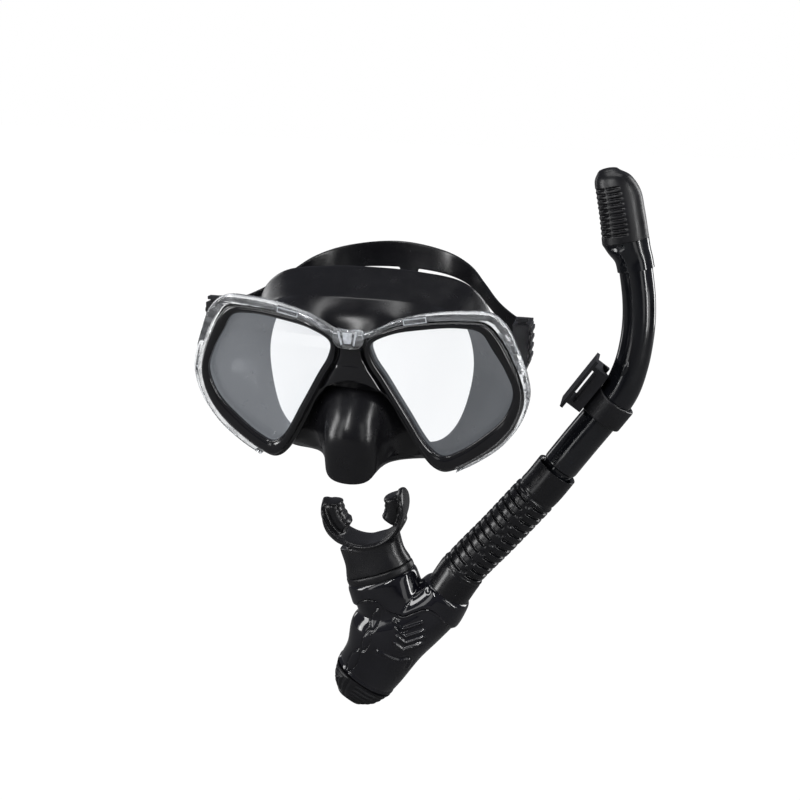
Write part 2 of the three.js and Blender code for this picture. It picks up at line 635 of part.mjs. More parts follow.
function purgeGrille() {
  const shell = cut(loft(ringsAlong(GRILLE_RINGS, MAIN_ANGLE)), loft(ringsAlong([
    [-4.2, -207.9, 15.6, 13], [-9.2, -216.3, 13.2, 11.2], [-12, -221, 7.5, 7]], MAIN_ANGLE)));
  const [mouthX, mouthZ] = GRILLE_RINGS[0];
  const slits = [-2, -1, 0, 1, 2].map((step) => {
    const middle = step * SLITS.pitch;
    const slit = box([-30, 30], [middle - SLITS.half, middle + SLITS.half], [-30, -4.5]);
    return standing(slit, mouthX, mouthZ, MAIN_ANGLE);
  });
  const keep = slits.map((slit, i) => toSolid(slit).intersect(toSolid(standing(
    disc(i % 4 === 0 ? SLITS.short : SLITS.long, -30, 0), mouthX, mouthZ, MAIN_ANGLE))));
  return toGeometry(keep.reduce((whole, slit) => whole.subtract(slit), toSolid(shell)));
}

function mouthClamp() {
  const inner = CLAMP_RINGS.map(([x, z]) => [x, z, 19 + GAP, 11.6 + GAP]);
  return loft([...ringsAlong(CLAMP_RINGS, NECK_ANGLE), ...ringsAlong(inner, NECK_ANGLE).reverse()], true);
}

// The mouthpiece: oval neck, curved lip shield and two bite tabs.
function mouthpiece() {
  const { x, z, r, thick, half, from, to } = SHIELD;
  const arc = new THREE.Shape();
  const [start, end] = [from, to].map(THREE.MathUtils.degToRad);
  arc.absarc(0, 0, r + thick / 2, start, end, false);
  arc.absarc(0, 0, r - thick / 2, end, start, true);
  const upright = (geometry, depth) => geometry.rotateX(Math.PI / 2).translate(x, SNORKEL_Y + depth, z);
  const band = new THREE.ExtrudeGeometry(arc, { depth: 2 * half, bevelEnabled: false, curveSegments: 18 });
  const shield = upright(band, half);
  const tabs = [[start, TABS.turns[0]], [end, TABS.turns[1]]].map(([turn, reach]) => {
    const tab = new THREE.Shape();
    const stop = turn + THREE.MathUtils.degToRad(reach);
    const backwards = reach < 0;
    tab.absarc(0, 0, r - thick / 2 + 0.4, turn, stop, backwards);
    tab.absarc(0, 0, r - thick / 2 - TABS.reach, stop, turn, !backwards);
    const settings = { depth: TABS.width, bevelEnabled: false, curveSegments: 6 };
    const solid = new THREE.ExtrudeGeometry(tab, settings);
    return upright(solid, TABS.width / 2);
  });
  const seat = [[3.5, -140, 19 + GAP, 11.6 + GAP], [0.7, -132.6, 19 + GAP, 11.6 + GAP]];
  const bore = loft(ringsAlong(seat, NECK_ANGLE));
  const narrowing = [[1, -133.4, 15.4, 9], [-4.2, -120, 14, 8.2], [-9, -108, 14, 8]];
  const throat = loft(ringsAlong(narrowing, NECK_ANGLE));
  return cut(join(loft(ringsAlong(MOUTH_NECK_RINGS, NECK_ANGLE)), shield, ...tabs), bore, throat);
}

// Snorkel keeper: a split sleeve round the barrel, a web and a rail that carries the strap clip.
function keeperSleeve() {
  const { outer, bore, half, rail, railHalf, webHalf } = KEEPER;
  const split = box([3, 20], [-20, -3], [-9, 9]);
  const sleeve = cut(disc(outer, -half, half), disc(bore, -9, 9), split);
  const web = cut(box([rail[1] - 0.5, -9], [-webHalf, webHalf], [-half, 5]), disc(bore, -9, 30));
  const bar = box(rail, [-railHalf, railHalf], [-8, 15]);
  return standing(join(sleeve, web, bar), KEEPER.x, KEEPER.z, BARREL_ANGLE);
}

// Strap clip: a lipped channel that slides along the keeper's rail, and an outer plate on two posts.
// The mask strap runs between the plate and the channel.
function strapClip() {
  const { half, channel, ends, plate, plateEnds, post } = CLIP;
  const { rail, railHalf, webHalf } = KEEPER;
  const wide = [-half, half];
  const railRoom = box([rail[0] - GAP, rail[1] + GAP], [-railHalf - GAP, railHalf + GAP], [-20, 30]);
  const webRoom = box([rail[1], -10], [-webHalf - 1, webHalf + 1], [-20, 30]);
  const body = cut(box(channel, wide, ends), railRoom, webRoom);
  const posts = [[ends[0], ends[0] + post], [ends[1] - post, ends[1]]].map((zs) => (
    box([plate[1] - 0.4, channel[0] + 0.5], wide, zs)));
  return standing(join(body, ...posts, box(plate, wide, plateEnds)), KEEPER.x, KEEPER.z, BARREL_ANGLE);
}

// ---------------------------------------------------------------- dry top

function dryRings(rows, shrink = 0) {
  const angle = THREE.MathUtils.degToRad(DRY.angle);
  return rows.map(([s, w, a, b]) => planeRing(
    DRY.x + s * Math.cos(angle) + w * Math.sin(angle),
    DRY.z + s * Math.sin(angle) - w * Math.cos(angle), DRY.angle, a - shrink, b - shrink));
}

const dryPlaced = (geometry) => standing(geometry, DRY.x, DRY.z, DRY.angle);

function dryTopBase() {
  const hull = loft(dryRings(BASE_RINGS));
  const tube = disc(VALVE_TUBE.r, VALVE_TUBE.from, VALVE_TUBE.to).translate(VALVE_TUBE.w, 0, 0);
  const socket = disc(9.2 + GAP, -20, 5);
  const bore = disc(VALVE_TUBE.bore, 2, 40).translate(VALVE_TUBE.w, 0, 0);
  return cut(join(hull, dryPlaced(tube)), dryPlaced(socket), dryPlaced(bore));
}

function dryTopShroud() {
  const hollow = SHROUD_RINGS.map(([s, w, a, b], i) => [s - (i > 2 ? SHROUD_WALL : 0), w, a, b]);
  const shell = loft([...dryRings(hollow, SHROUD_WALL).reverse(), ...dryRings(SHROUD_RINGS)]);
  const slots = Array.from({ length: SHROUD_SLOTS }, (_, i) => {
    const low = SHROUD_SLOT.first + i * SHROUD_SLOT.pitch;
    const outer = SHROUD_SLOT.outer - i * SHROUD_SLOT.narrowing;
    return dryPlaced(box([SHROUD_SLOT.inner, outer], [-40, 40], [low, low + SHROUD_SLOT.high]));
  });
  return cut(shell, ...slots);
}

function float() {
  return dryPlaced(box([-11.6, -6.6], [-5.5, 5.5], [15, 22]));
}

function valvePin() {
  return dryPlaced(rod(0.8, 'y', -7.4, 7.4, [FLAP.hinge, 0, FLAP.height]));
}

function valveFlap() {
  const lid = disc(6.2, -1.6, 0).translate(VALVE_TUBE.w - FLAP.hinge, 0, 0);
  const plate = join(lid, box([1.4, 4], [-2.5, 2.5], [-1.6, 0.2]));
  const knuckle = cut(rod(1.9, 'y', -2.5, 2.5, [0, 0, 0]), rod(0.8 + GAP, 'y', -9, 9, [0, 0, 0]));
  const flap = join(plate, knuckle).rotateY(-THREE.MathUtils.degToRad(FLAP.open));
  return dryPlaced(flap.translate(FLAP.hinge, 0, FLAP.height));
}

// ---------------------------------------------------------------- assembly

const lensGlass = facePlate(grown(lensEdge, LENS_OVERLAP), [], LENS_FRONT + 0.05, LENS_FRONT + LENS_THICK);
const bezelRing = facePlate(bezelEdge, [lensEdge], BEZEL_FRONT, LENS_FRONT - GAP);

const BRIDGE_FACE = { z: 16 };
BRIDGE_FACE.y = faceDepth(0, BRIDGE_FACE.z) + BRIDGE_PAD_FRONT;

const model = new THREE.Group();
model.position.set(0, -BRIDGE_FACE.y, -BRIDGE_FACE.z);
model.add(
  piece('main_frame', mainFrame(), BLACK_GLOSS),
  piece('clear_trim', clearTrim(), CLEAR),
  piece('bridge_cover', bridgeCover(), CLEAR),
  piece('skirt', skirt(), SILICONE),
  piece('strap', strap(), SILICONE),
);

const PAIRED = [
  ['lens', lensGlass, GLASS],
  ['bezel', bezelRing, BLACK_GLOSS],
  ['buckle_bracket', buckleBracket(), BLACK_MATTE],
  ['buckle_pin', bucklePin(), STEEL],
  ['buckle_body', buckleBody(), BLACK_MATTE],
  ['strap_roller', roller(), BLACK_MATTE],
  ['release_button', releaseButton(), BLACK_MATTE],
];
for (const [name, geometry, look] of PAIRED) {
  model.add(piece(`${name}_right`, geometry, look), piece(`${name}_left`, mirrored(geometry), look));
}

model.add(
  piece('barrel', barrel(), BLACK_GLOSS),
  piece('flex_hose', hose(), SILICONE),
  piece('chamber_body', chamberBody(), BLACK_GLOSS),
  piece('chamber_cover', chamberCover(), BLACK_GLOSS),
  piece('purge_seat', purgeSeat(), BLACK_MATTE),
  piece('purge_membrane', purgeMembrane(), SILICONE),
  piece('purge_grille', purgeGrille(), BLACK_GLOSS),
  piece('mouthpiece_clamp', mouthClamp(), BLACK_MATTE),
  piece('mouthpiece', mouthpiece(), SILICONE),
  piece('keeper_sleeve', keeperSleeve(), BLACK_MATTE),
  piece('strap_clip', strapClip(), BLACK_MATTE),
  piece('dry_top_base', dryTopBase(), BLACK_GLOSS),
  piece('dry_top_shroud', dryTopShroud(), BLACK_MATTE),
  piece('float', float(), BLACK_MATTE),
  piece('valve_pin', valvePin(), STEEL),
  piece('valve_flap', valveFlap(), SILICONE),
);

export default model;
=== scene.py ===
import json
import math

import bmesh
import bpy
import numpy as np
from mathutils import Matrix, Vector


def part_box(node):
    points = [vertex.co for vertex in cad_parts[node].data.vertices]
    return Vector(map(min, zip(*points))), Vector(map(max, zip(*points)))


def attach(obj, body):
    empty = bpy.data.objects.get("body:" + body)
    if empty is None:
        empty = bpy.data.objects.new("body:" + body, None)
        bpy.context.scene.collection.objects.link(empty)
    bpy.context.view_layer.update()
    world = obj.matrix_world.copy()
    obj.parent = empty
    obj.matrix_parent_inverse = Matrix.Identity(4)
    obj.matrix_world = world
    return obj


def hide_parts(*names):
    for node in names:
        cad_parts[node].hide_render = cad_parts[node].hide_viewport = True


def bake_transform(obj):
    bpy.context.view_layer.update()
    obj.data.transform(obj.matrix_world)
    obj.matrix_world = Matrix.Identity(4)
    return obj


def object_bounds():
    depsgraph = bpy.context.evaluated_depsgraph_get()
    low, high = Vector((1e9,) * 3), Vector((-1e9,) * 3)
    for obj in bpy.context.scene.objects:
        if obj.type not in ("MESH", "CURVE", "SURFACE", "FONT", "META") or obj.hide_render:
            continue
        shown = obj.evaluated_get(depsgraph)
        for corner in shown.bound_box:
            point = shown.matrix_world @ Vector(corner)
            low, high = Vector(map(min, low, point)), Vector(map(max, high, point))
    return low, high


# Twin-lens dive mask and dry-top snorkel: the finished surfaces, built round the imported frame.
# Shapes are worked out in millimetres from the lens datum, which lies on the symmetry plane level
# with the middle of the lenses: x right, y back towards the wearer, z up.

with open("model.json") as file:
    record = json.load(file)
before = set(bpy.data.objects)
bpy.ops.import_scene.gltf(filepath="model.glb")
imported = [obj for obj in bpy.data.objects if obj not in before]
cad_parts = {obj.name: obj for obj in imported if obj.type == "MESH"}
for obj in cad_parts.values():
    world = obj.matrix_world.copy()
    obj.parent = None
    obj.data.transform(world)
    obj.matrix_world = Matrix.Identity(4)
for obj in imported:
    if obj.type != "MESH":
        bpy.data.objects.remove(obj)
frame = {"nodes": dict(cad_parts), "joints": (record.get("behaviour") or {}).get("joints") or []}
cad_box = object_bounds()

MM = 0.001
JOINTS = {joint["name"]: joint for joint in frame["joints"]}
PIVOT_FROM_DATUM = Vector((-85, 33, 20))
DATUM = Vector(JOINTS["strap_swing"]["pos_m"]) - PIVOT_FROM_DATUM * MM


def from_frame(point):
    """A point of the frame, in metres, as millimetres from the datum."""
    return (Vector(point) - DATUM) / MM


def node_middle(node):
    low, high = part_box(node)
    return from_frame((low + high) / 2)


SNORKEL_Y = node_middle("barrel").y
HOSE_PIVOT = from_frame(JOINTS["hose_flex"]["pos_m"])
BARREL_AXIS = -Vector(JOINTS["keeper_slide"]["axis"])
DRY_AXIS = Vector(JOINTS["float_rise"]["axis"])
CHAMBER_AXIS = -Vector(JOINTS["purge_open"]["axis"])
NECK_ANGLE = 111.7

# ---- mask dimensions

GAP = 0.35
FACE_Y, FACE_YAW, FACE_PITCH, BRIDGE_FLAT, BRIDGE_FOLD = 1.5, 0.18, 0.22, 7.5, 2
LENS_FRONT, LENS_THICK, LENS_TUCK = 2.0, 3.2, 2.2
FRAME_BACK, TRIM_FRONT, TRIM_BACK = 8.5, -2.3, 8.0
COVER_FRONT = -5.6
LENS_MIDDLE = (50, -2)

# Edges of the right half seen from the front, as (x, z); the lens and bezel edges are whole loops.
LENS_EDGE = [
    (11, 21.5), (21, 27.5), (38, 31), (56, 32.5), (66.5, 30.5), (73, 21), (80, 9), (84, -3),
    (79.5, -17.5), (67, -30.5), (56, -38.5), (48, -41.5), (41, -36.5), (29, -16), (18.5, 3), (12.2, 14),
]
BEZEL_EDGE = [
    (8.6, 23.5), (21, 30.8), (38, 34.3), (57, 35.8), (69, 34.8), (76, 27.5), (82, 16.5), (86.8, 5),
    (88.8, -6), (86, -19.5), (78, -32), (65.5, -42.5), (55, -48.8), (48.5, -50.5), (43, -47.5),
    (36, -37), (25.5, -18.5), (14.5, 1.5), (8.4, 13),
]
FRAME_EDGE = [
    (0, 23), (11, 26), (22, 31.8), (38, 35.3), (57, 36.8), (70, 35.8), (77, 28.3), (83, 17), (88, 5),
    (90, -6), (87, -20), (79, -33), (66, -43.7), (55, -50.2), (48, -52), (42, -49), (34, -38),
    (25, -21.5), (19.5, -11), (11, -2.8), (0, 0),
]
TRIM_EDGE = [
    (0, 27.2), (8.8, 28), (22, 34.6), (40, 39.5), (58, 41.3), (72, 40.6), (80.5, 33), (86.5, 20),
    (91, 7), (93, -6), (89.6, -20.9), (80.6, -34.3), (67.1, -45.1), (55.6, -51.4),
]
TRIM_END = 13
WEB_SIDE = [(6.4, 18.8), (7.4, 13), (13.6, 1.6), (19.2, -8.4)]
WEB_ARCH = [(19.2, -8.4), (11, -2.5), (0, 0.3)]
WEB = {"proud": 1.5, "behind": 3.2, "side_roll": 2.6, "foot_roll": 1.6, "dish": 0.5}
NOSE_LINE = [(0, 0.4), (11, -2.6), (19.5, -11), (25, -21.5), (31, -32.5)]
NOSE_LIP = {"thick": 1.3, "lap": 3, "deep": 12, "drop": 3.2, "drop_half": 26, "inward": 0.16, "inward_by": 20}
COVER_EDGE = [(0, 30), (7.4, 30), (8, 25), (6.4, 20.8), (0, 19.4)]
COVER_BAR = [(5.2, 29), (4.2, 29), (2.7, 22), (3.6, 21.6)]
COVER_WINDOW = [(-2.6, 28.6), (2.6, 28.6), (1.9, 22.6), (-1.9, 22.6)]
LATCH = {"middle": (33.8, 35.9), "slope": 9.7, "half_width": 5.9, "half_height": 1.5, "line": 0.45}
# The bezel's section: share of the way out from the lens edge, and depth from the lens plane.
BEZEL_PROFILE = [
    (0, 1.6), (0, -0.4), (0.03, -1.0), (0.09, -1.35), (0.15, -1.3), (0.2, -1.5), (0.3, -2.0), (0.45, -2.2),
    (0.62, -2.2), (0.8, -2.0), (0.92, -1.4), (0.985, -0.5), (1, 0.3), (1, 1.2), (0.97, 1.6),
]

# Slices through the silicone: rim, wall, crease, flange tip, lip.
SKIRT_STATIONS = [
    [(0, 7, 21), (0, 14, 31), (0, 22, 39.5), (0, 48, 53.5), (0, 44, 40)],
    [(24, 9.5, 30), (24, 16, 34.5), (24, 23, 39.2), (25, 48.5, 52.5), (25, 45, 40)],
    [(45, 13, 33.5), (44, 19, 35.5), (42, 26, 37), (51, 50, 47.8), (42, 46, 36)],
    [(64.5, 18, 31.5), (60.5, 25, 30.5), (56, 33, 29), (62.5, 52, 37), (52, 47, 27)],
    [(82, 26, 4), (73, 33, 7), (65, 40, 9), (69, 57, 12), (58, 48, 8)],
    [(85.5, 31, -15), (75.5, 36, -14), (64, 41, -13), (68, 57, -14), (56.5, 48, -13)],
    [(73, 31.5, -34.5), (66, 35, -34), (59, 38.5, -33), (62, 53, -36), (50, 46, -32)],
    [(50, 30.5, -47.5), (49, 32, -46), (47.5, 36, -43.5), (47, 47, -49), (42, 44, -40)],
    [(36.5, 24, -37), (35, 30, -41), (32, 33, -44.5), (31, 42, -50), (30, 40, -41)],
    [(27.5, 20, -23), (24, 25, -38), (23, 29, -45.5), (23, 40, -50.5), (21, 37, -42.5)],
    [(19, 16.5, -12.6), (14.8, 8, -30), (13.8, 12, -46), (17, 37, -50), (14, 34, -43)],
    [(9.5, 12.5, -3.4), (10.2, -2.5, -27), (9.4, 1.5, -52.5), (9, 36, -49.5), (8, 32, -43.5)],
    [(0, 12, -1.1), (0, -6.5, -25), (0, 0.5, -54.5), (0, 35, -49), (0, 31, -44)],
]
SKIRT_THICK, FLANGE_THICK, FORK_REACH, SEAT_SPAN = 2.2, 1.4, 9, 20
SKIRT_HOLD, STRAP_HOLD = 0.7, 0.8

# Right half of the strap band: x, y, z of the middle line and the half height.
STRAP_STATIONS = [
    (80.5, 57, 20.5, 9.5), (68, 70, 25, 10.5), (57, 86, 31, 12.3), (46.4, 100, 35.8, 15),
    (30, 112, 38.6, 17.8), (0, 118.5, 39.4, 20.5),
]
STRAP_THICK = 1.8
STRAP_SLOT = {"share": 0.23, "behind": 72, "left_of": 2.5, "right_of": 11.4}
ROLLER = {"x": 84.5, "y": 46.5, "z": 20, "turn": 2.8, "half": 9.3}
GRIP = {"ribs": 4, "first": 3.2, "pitch": 5, "high": 2.4, "proud": 1.1, "cheek": 0.6}

# ---- snorkel dimensions

# Points of the barrel's line: x, z, radius.
BARREL_FOOT = (102.4, -68.3, 9.4)
BARREL_SHOULDER = [(107.7, -60.3, 9.4), (108, -59.9, 10.3), (108.5, -59.1, 10.6)]
BARREL_BEND = [
    (117.7, -45.2, 10.6), (135.4, -18.5, 10.5), (140, -9.5, 10.2), (143.6, 3, 9.6), (145.4, 16, 9.3),
    (145.8, 29, 9.2), (144.7, 42, 9.2), (141.6, 58.6, 9.2),
]
BARREL_WALL, BARREL_NECK = 1.7, 9.4
PIP_ROWS = [(138.6, -1.5, 0.3, 0.2), (139.4, 0, 1.5, 1.1), (141, 4.5, 1.6, 1.2), (141.9, 7, 0.3, 0.2)]
PIP_ANGLE = 74
HOSE_LINE = [(106.3, -62.4), (99.4, -72.8), (93.8, -80), (74.8, -104.8), (54.8, -130), (45.6, -145.8)]
HOSE_RIBS, HOSE_DIMPLES = 12, 8
HOSE = {"rib": 13.2, "root": 11.5, "bore": 10.5, "top": 12.7, "bottom": 13.9}
HOSE_SPAN, HOSE_REACH = (0.2, 0.83), 24
# Half width of the hose's flat spine in degrees, and the radius and depth of each dimple on it.
SPINE_HALF, DIMPLE_RADIUS, DIMPLE_DEPTH = 11, 1.7, 0.9

# Rings and rows of the snorkel: x, z, half width, half depth.
CHAMBER_RINGS = [
    (45.2, -146.4, 14, 14), (38, -156.5, 16.6, 15.5), (25, -168, 20, 17), (9.4, -179.5, 24.8, 17.6),
    (1.7, -198, 21, 17.4), (-4.6, -208.6, 19.8, 16.6),
]
NECK_RINGS = [(14, -168, 20, 14.5), (9, -155, 21, 14.5), (4, -141.6, 20.8, 13.2)]
SEAM_WAVE = [
    (-40, -166), (-12.5, -160), (-5, -153), (4, -151.5), (13, -157), (20.9, -159), (28.4, -155.5),
    (35.3, -152.5), (42.4, -155), (49, -164), (60, -180),
]
LEAVES = [((3.8, -164), 78, 7.6, 2.6), ((-1.2, -178), 74, 7.4, 2.6), ((-9.4, -193), 66, 9.4, 3)]
CHEVRONS = [(21.5, -167, 1.0), (23.2, -171.8, 0.8), (23.4, -176.2, 0.8), (22, -180.8, 0.95)]
CHAMBER_PANEL = [(6.6, -183.5), (18.1, -188.6), (26, -189.2), (24, -196)]
CHAMBER_DOT = (35.5, -143.4)
CHAMBER_WALL = 1.8
# Turns in degrees round the grille: the nested face, the ridge between the faces, the level face.
GRILLE = {
    "nested": 205, "nested_half": 52, "ridge": 262, "ridge_half": 3.2, "level_from": 268, "level_to": 120,
}
GRILLE_WAVE = {"nested": 3.5, "level": 6, "high": 0.42, "ridge_high": 0.5, "plain_end": 0.06}
# Voxel size in millimetres and rounds of smoothing for the joined skins.
CHAMBER_SKIN, MOUTH_SKIN = (0.5, 40), (0.62, 7)
GRILLE_RINGS = [(-4.5, -208.4, 20, 16.8), (-9.5, -216.8, 16.2, 14.2), (-13.2, -223, 9.5, 9.5)]
CLAMP_RINGS = [
    (3.7, -141, 21.3, 13.9), (3.4, -140, 21.8, 14.4), (2.2, -137, 21.6, 14.2), (2, -136.4, 21, 13.6),
]
CLAMP_BORE = (19.4, 12)
MOUTH_NECK = [
    (1.9, -136.3, 21.4, 13.8), (0.7, -133, 20.4, 13.2), (-0.8, -129, 19.4, 12.6), (-4.5, -118, 19.6, 12.4),
]
SHIELD = {"x": -8, "z": -95, "r": 24.5, "thick": 3.4, "half": 13.5, "from": 178, "to": 388}
# Sheets round the shield's centre: start and end in degrees, inner and outer radius, half width, taper.
MOUTH_SHEETS = [
    (179, 240, 14.2, 24.5, 8.5, 0.14), (328, 385, 13, 24.5, 8.5, 0.14),
    (200, 262, 23.5, 28.5, 12.5, 0.45), (300, 345, 23.5, 27.5, 12.5, 0.45),
]
SHIELD_TAPER = 0.13
# Ridges lie on the bite pads, within half of the middle and inside the radius; the rim lies outside it.
BITE = {"half": 7, "radius": 21, "per_turn": 24, "ridge": 0.25, "rim": 0.4, "rim_above": -122}
KEEPER = Vector((132.4, SNORKEL_Y, -23.1))
SLEEVE = {"outer": 13, "bore": 10.95, "half": 7, "chamfer": 0.5, "fin_out": 1.6, "fin_up": 3.2}
# Boxes of the clip's carrier, from low corner to high corner, in the sleeve's own axes.
KEEPER_BOXES = [((-14.6, -6, -7), (-11.4, 6, 14.6)), ((-16.2, -9, -8), (-14.2, 9, 15))]
DRY_FOOT = Vector((141.2, SNORKEL_Y, 60.4))
# Rows of the dry top: distance along its axis, distance across, half width, half depth.
BASE_RINGS = [(-3, 0, 10.2, 10.2), (3, -0.4, 10.4, 10.2), (8, -2, 11.6, 11), (13.6, -3.3, 12.9, 11.7)]
SHROUD_RINGS = [
    (13.8, -3.3, 12.9, 11.7), (28, -3, 12.5, 11.6), (40, -3.3, 12, 11), (48.5, -5.2, 9.8, 8.8),
    (52.6, -6.8, 6, 5.2),
]
SLOTS = {"rows": 10, "from": 17, "to": 45, "columns": (178, 222, 262, 138, 98), "deep": 1.5}
SCOOP = {"height": 12, "middle": 240, "deep": 1.3}

# ---- materials


class Wiring:
    """A node tree under construction, for a material or for the world."""

    def __init__(self, owner, output):
        owner.use_nodes = True
        self.tree = owner.node_tree
        self.tree.nodes.clear()
        self.surface = self.add(output).inputs["Surface"]

    def add(self, kind, **values):
        """A node with its inputs and settings; an underscore stands for a space in an input's name."""
        node = self.tree.nodes.new(kind)
        for key, value in values.items():
            socket = key.replace("_", " ")
            if socket in node.inputs:
                self.put(value, node.inputs[socket])
            else:
                setattr(node, key, value)
        return node

    def put(self, value, socket):
        """Feeds a socket with another node's output or with a plain value."""
        if isinstance(value, bpy.types.NodeSocket):
            self.tree.links.new(value, socket)
        else:
            socket.default_value = value

    def maths(self, operation, *values):
        node = self.add("ShaderNodeMath", operation=operation)
        for value, socket in zip(values, node.inputs):
            self.put(value, socket)
        return node.outputs[0]

    def blended(self, factor, first, second):
        """A shader that goes from the first to the second as the factor rises."""
        node = self.add("ShaderNodeMixShader", Fac=factor)
        self.put(first.outputs[0], node.inputs[1])
        self.put(second.outputs[0], node.inputs[2])
        return node

    def seen_directly(self):
        """One for rays from the camera or through clear plastic, nought for all others."""
        path = self.add("ShaderNodeLightPath")
        return self.maths("MAXIMUM", path.outputs["Is Camera Ray"], path.outputs["Is Transmission Ray"])


class Look(Wiring):
    """A material whose textures lie in the object's own coordinates."""

    def __init__(self, name):
        self.material = bpy.data.materials.new(name)
        super().__init__(self.material, "ShaderNodeOutputMaterial")
        self.place = self.add("ShaderNodeTexCoord").outputs["Object"]

    def noise(self, scale, detail=3.0, stretch=(1, 1, 1)):
        mapping = self.add("ShaderNodeMapping", Vector=self.place, Scale=stretch)
        texture = self.add("ShaderNodeTexNoise", Vector=mapping.outputs["Vector"], Scale=scale, Detail=detail)
        return texture.outputs["Fac"]

    def ranged(self, value, low, high, from_low=0.3, from_high=0.7):
        limits = {"From_Min": from_low, "From_Max": from_high, "To_Min": low, "To_Max": high}
        return self.add("ShaderNodeMapRange", Value=value, **limits).outputs["Result"]

    def mixed(self, factor, first, second):
        colours = {"A": (*first, 1), "B": (*second, 1)}
        return self.add("ShaderNodeMix", data_type="RGBA", Factor=factor, **colours).outputs["Result"]

    def bump(self, height, strength, distance):
        node = self.add("ShaderNodeBump", Height=height, Strength=strength, Distance=distance)
        return node.outputs["Normal"]

    def finished(self, shader):
        self.put(shader.outputs[0], self.surface)
        return self.material


WHITE = (1, 1, 1, 1)
# Noise scales count features to the metre, the last one sizing the patches of the painted sheen on clear
# parts; WORN_EDGE is the range of pointiness that looks worn.
DRIFT_SCALE, POLISH_SCALE, SWELL_SCALE, PAINTED_SHEEN_SCALE = 60, 140, 35, 14
WORN_EDGE = (0.53, 0.62)
COAT_ROUGHNESS = 0.04


def moulded(name, colour, worn, rough, grain, grain_depth, coat=0.0, waviness=0.0):
    """Moulded plastic or rubber: colour drift, grain, uneven polish and lighter worn edges."""
    look = Look(name)
    drift = look.ranged(look.noise(DRIFT_SCALE), 0.0, 0.5)
    edge = look.ranged(look.add("ShaderNodeNewGeometry").outputs["Pointiness"], 0.0, 0.8, *WORN_EDGE)
    height = look.noise(grain, 2)
    if waviness:
        height = look.maths("ADD", height, look.ranged(look.noise(SWELL_SCALE, 1), 0, waviness))
    return look.finished(look.add(
        "ShaderNodeBsdfPrincipled",
        Base_Color=look.mixed(look.maths("MAXIMUM", drift, edge), colour, worn),
        Roughness=look.ranged(look.noise(POLISH_SCALE, 4), *rough),
        Normal=look.bump(height, 0.5, grain_depth * MM),
        Coat_Weight=coat,
        Coat_Roughness=COAT_ROUGHNESS,
    ))


def see_through(name, tint, haze, rough, scale, stretch, depth, painted_sheen=0.0):
    """Clear plastic or glass: mostly transparent, a little milky, with polish and a pale painted sheen, a
    faint glow that stands in for reflected light.
    """
    look = Look(name)
    clear = look.add("ShaderNodeBsdfTransparent", Color=(*tint, 1))
    milk = look.add("ShaderNodeBsdfDiffuse", Color=(0.82, 0.85, 0.9, 1))
    swell = look.bump(look.noise(scale * 0.6, 1), 0.3, depth * MM)
    polish = look.add("ShaderNodeBsdfGlossy", Color=WHITE, Roughness=rough, Normal=swell)
    body = look.blended(look.ranged(look.noise(scale, 3, stretch), *haze), clear, milk)
    whole = look.blended(look.add("ShaderNodeFresnel", IOR=1.5).outputs["Fac"], body, polish)
    # Painted reflection: a faint, uneven bluish glow added on top stands in for light reflected in the
    # surface.
    painted_sheen_strength = look.ranged(look.noise(PAINTED_SHEEN_SCALE, 0, (1, 1, 0.5)), painted_sheen * 0.6, painted_sheen * 1.4)
    glow = look.add("ShaderNodeEmission", Color=(0.86, 0.92, 1, 1), Strength=painted_sheen_strength)
    both = look.add("ShaderNodeAddShader")
    look.put(whole.outputs["Shader"], both.inputs[0])
    look.put(glow.outputs["Emission"], both.inputs[1])
    return look.finished(both)


def clear_solid(name, streaks, depth):
    """Thick clear plastic that bends light, with lengthwise flow lines and a little milkiness."""
    look = Look(name)
    flow = look.noise(streaks, 3, (0.3, 1, 2.2))
    glass = look.add(
        "ShaderNodeBsdfGlass", Color=(0.97, 0.975, 0.98, 1), IOR=1.46,
        Roughness=look.ranged(flow, 0.0, 0.12), Normal=look.bump(flow, 0.7, depth * MM),
    )
    milk = look.add("ShaderNodeBsdfDiffuse", Color=(0.85, 0.87, 0.9, 1))
    cloud = look.ranged(look.noise(streaks * 0.7, 2, (0.25, 1, 2.5)), 0.02, 0.3, 0.45, 0.75)
    return look.finished(look.blended(cloud, glass, milk))


def steel(name):
    look = Look(name)
    brushed = look.noise(900, 3, (0.05, 1, 1))
    colour = look.mixed(brushed, (0.5, 0.51, 0.53), (0.68, 0.69, 0.7))
    rough = look.ranged(brushed, 0.2, 0.38)
    shader = look.add("ShaderNodeBsdfPrincipled", Metallic=1.0, Base_Color=colour, Roughness=rough)
    return look.finished(shader)


# Colour, colour where worn, roughness, grain scale, grain depth in mm, then coat and waviness.
MOULDED_LOOKS = {
    "frame_black": ((0.0045, 0.0045, 0.0055), (0.011, 0.011, 0.013), (0.08, 0.16), 900, 0.01, 0.3, 0.4),
    "snorkel_black": ((0.004, 0.0045, 0.006), (0.01, 0.011, 0.014), (0.1, 0.2), 700, 0.012, 0.3, 0.5),
    "chamber_black": ((0.003, 0.003, 0.005), (0.012, 0.012, 0.016), (0.07, 0.12), 1400, 0.002, 0.5),
    "moulded_black": ((0.004, 0.004, 0.005), (0.014, 0.014, 0.017), (0.3, 0.42), 2600, 0.012),
    "silicone": ((0.004, 0.004, 0.005), (0.01, 0.01, 0.012), (0.2, 0.28), 1500, 0.005, 0, 0.15),
    "mouth_silicone": ((0.006, 0.006, 0.007), (0.018, 0.018, 0.02), (0.22, 0.3), 1800, 0.005, 0, 0.15),
}
LOOKS = {name: moulded(name, *values) for name, values in MOULDED_LOOKS.items()}
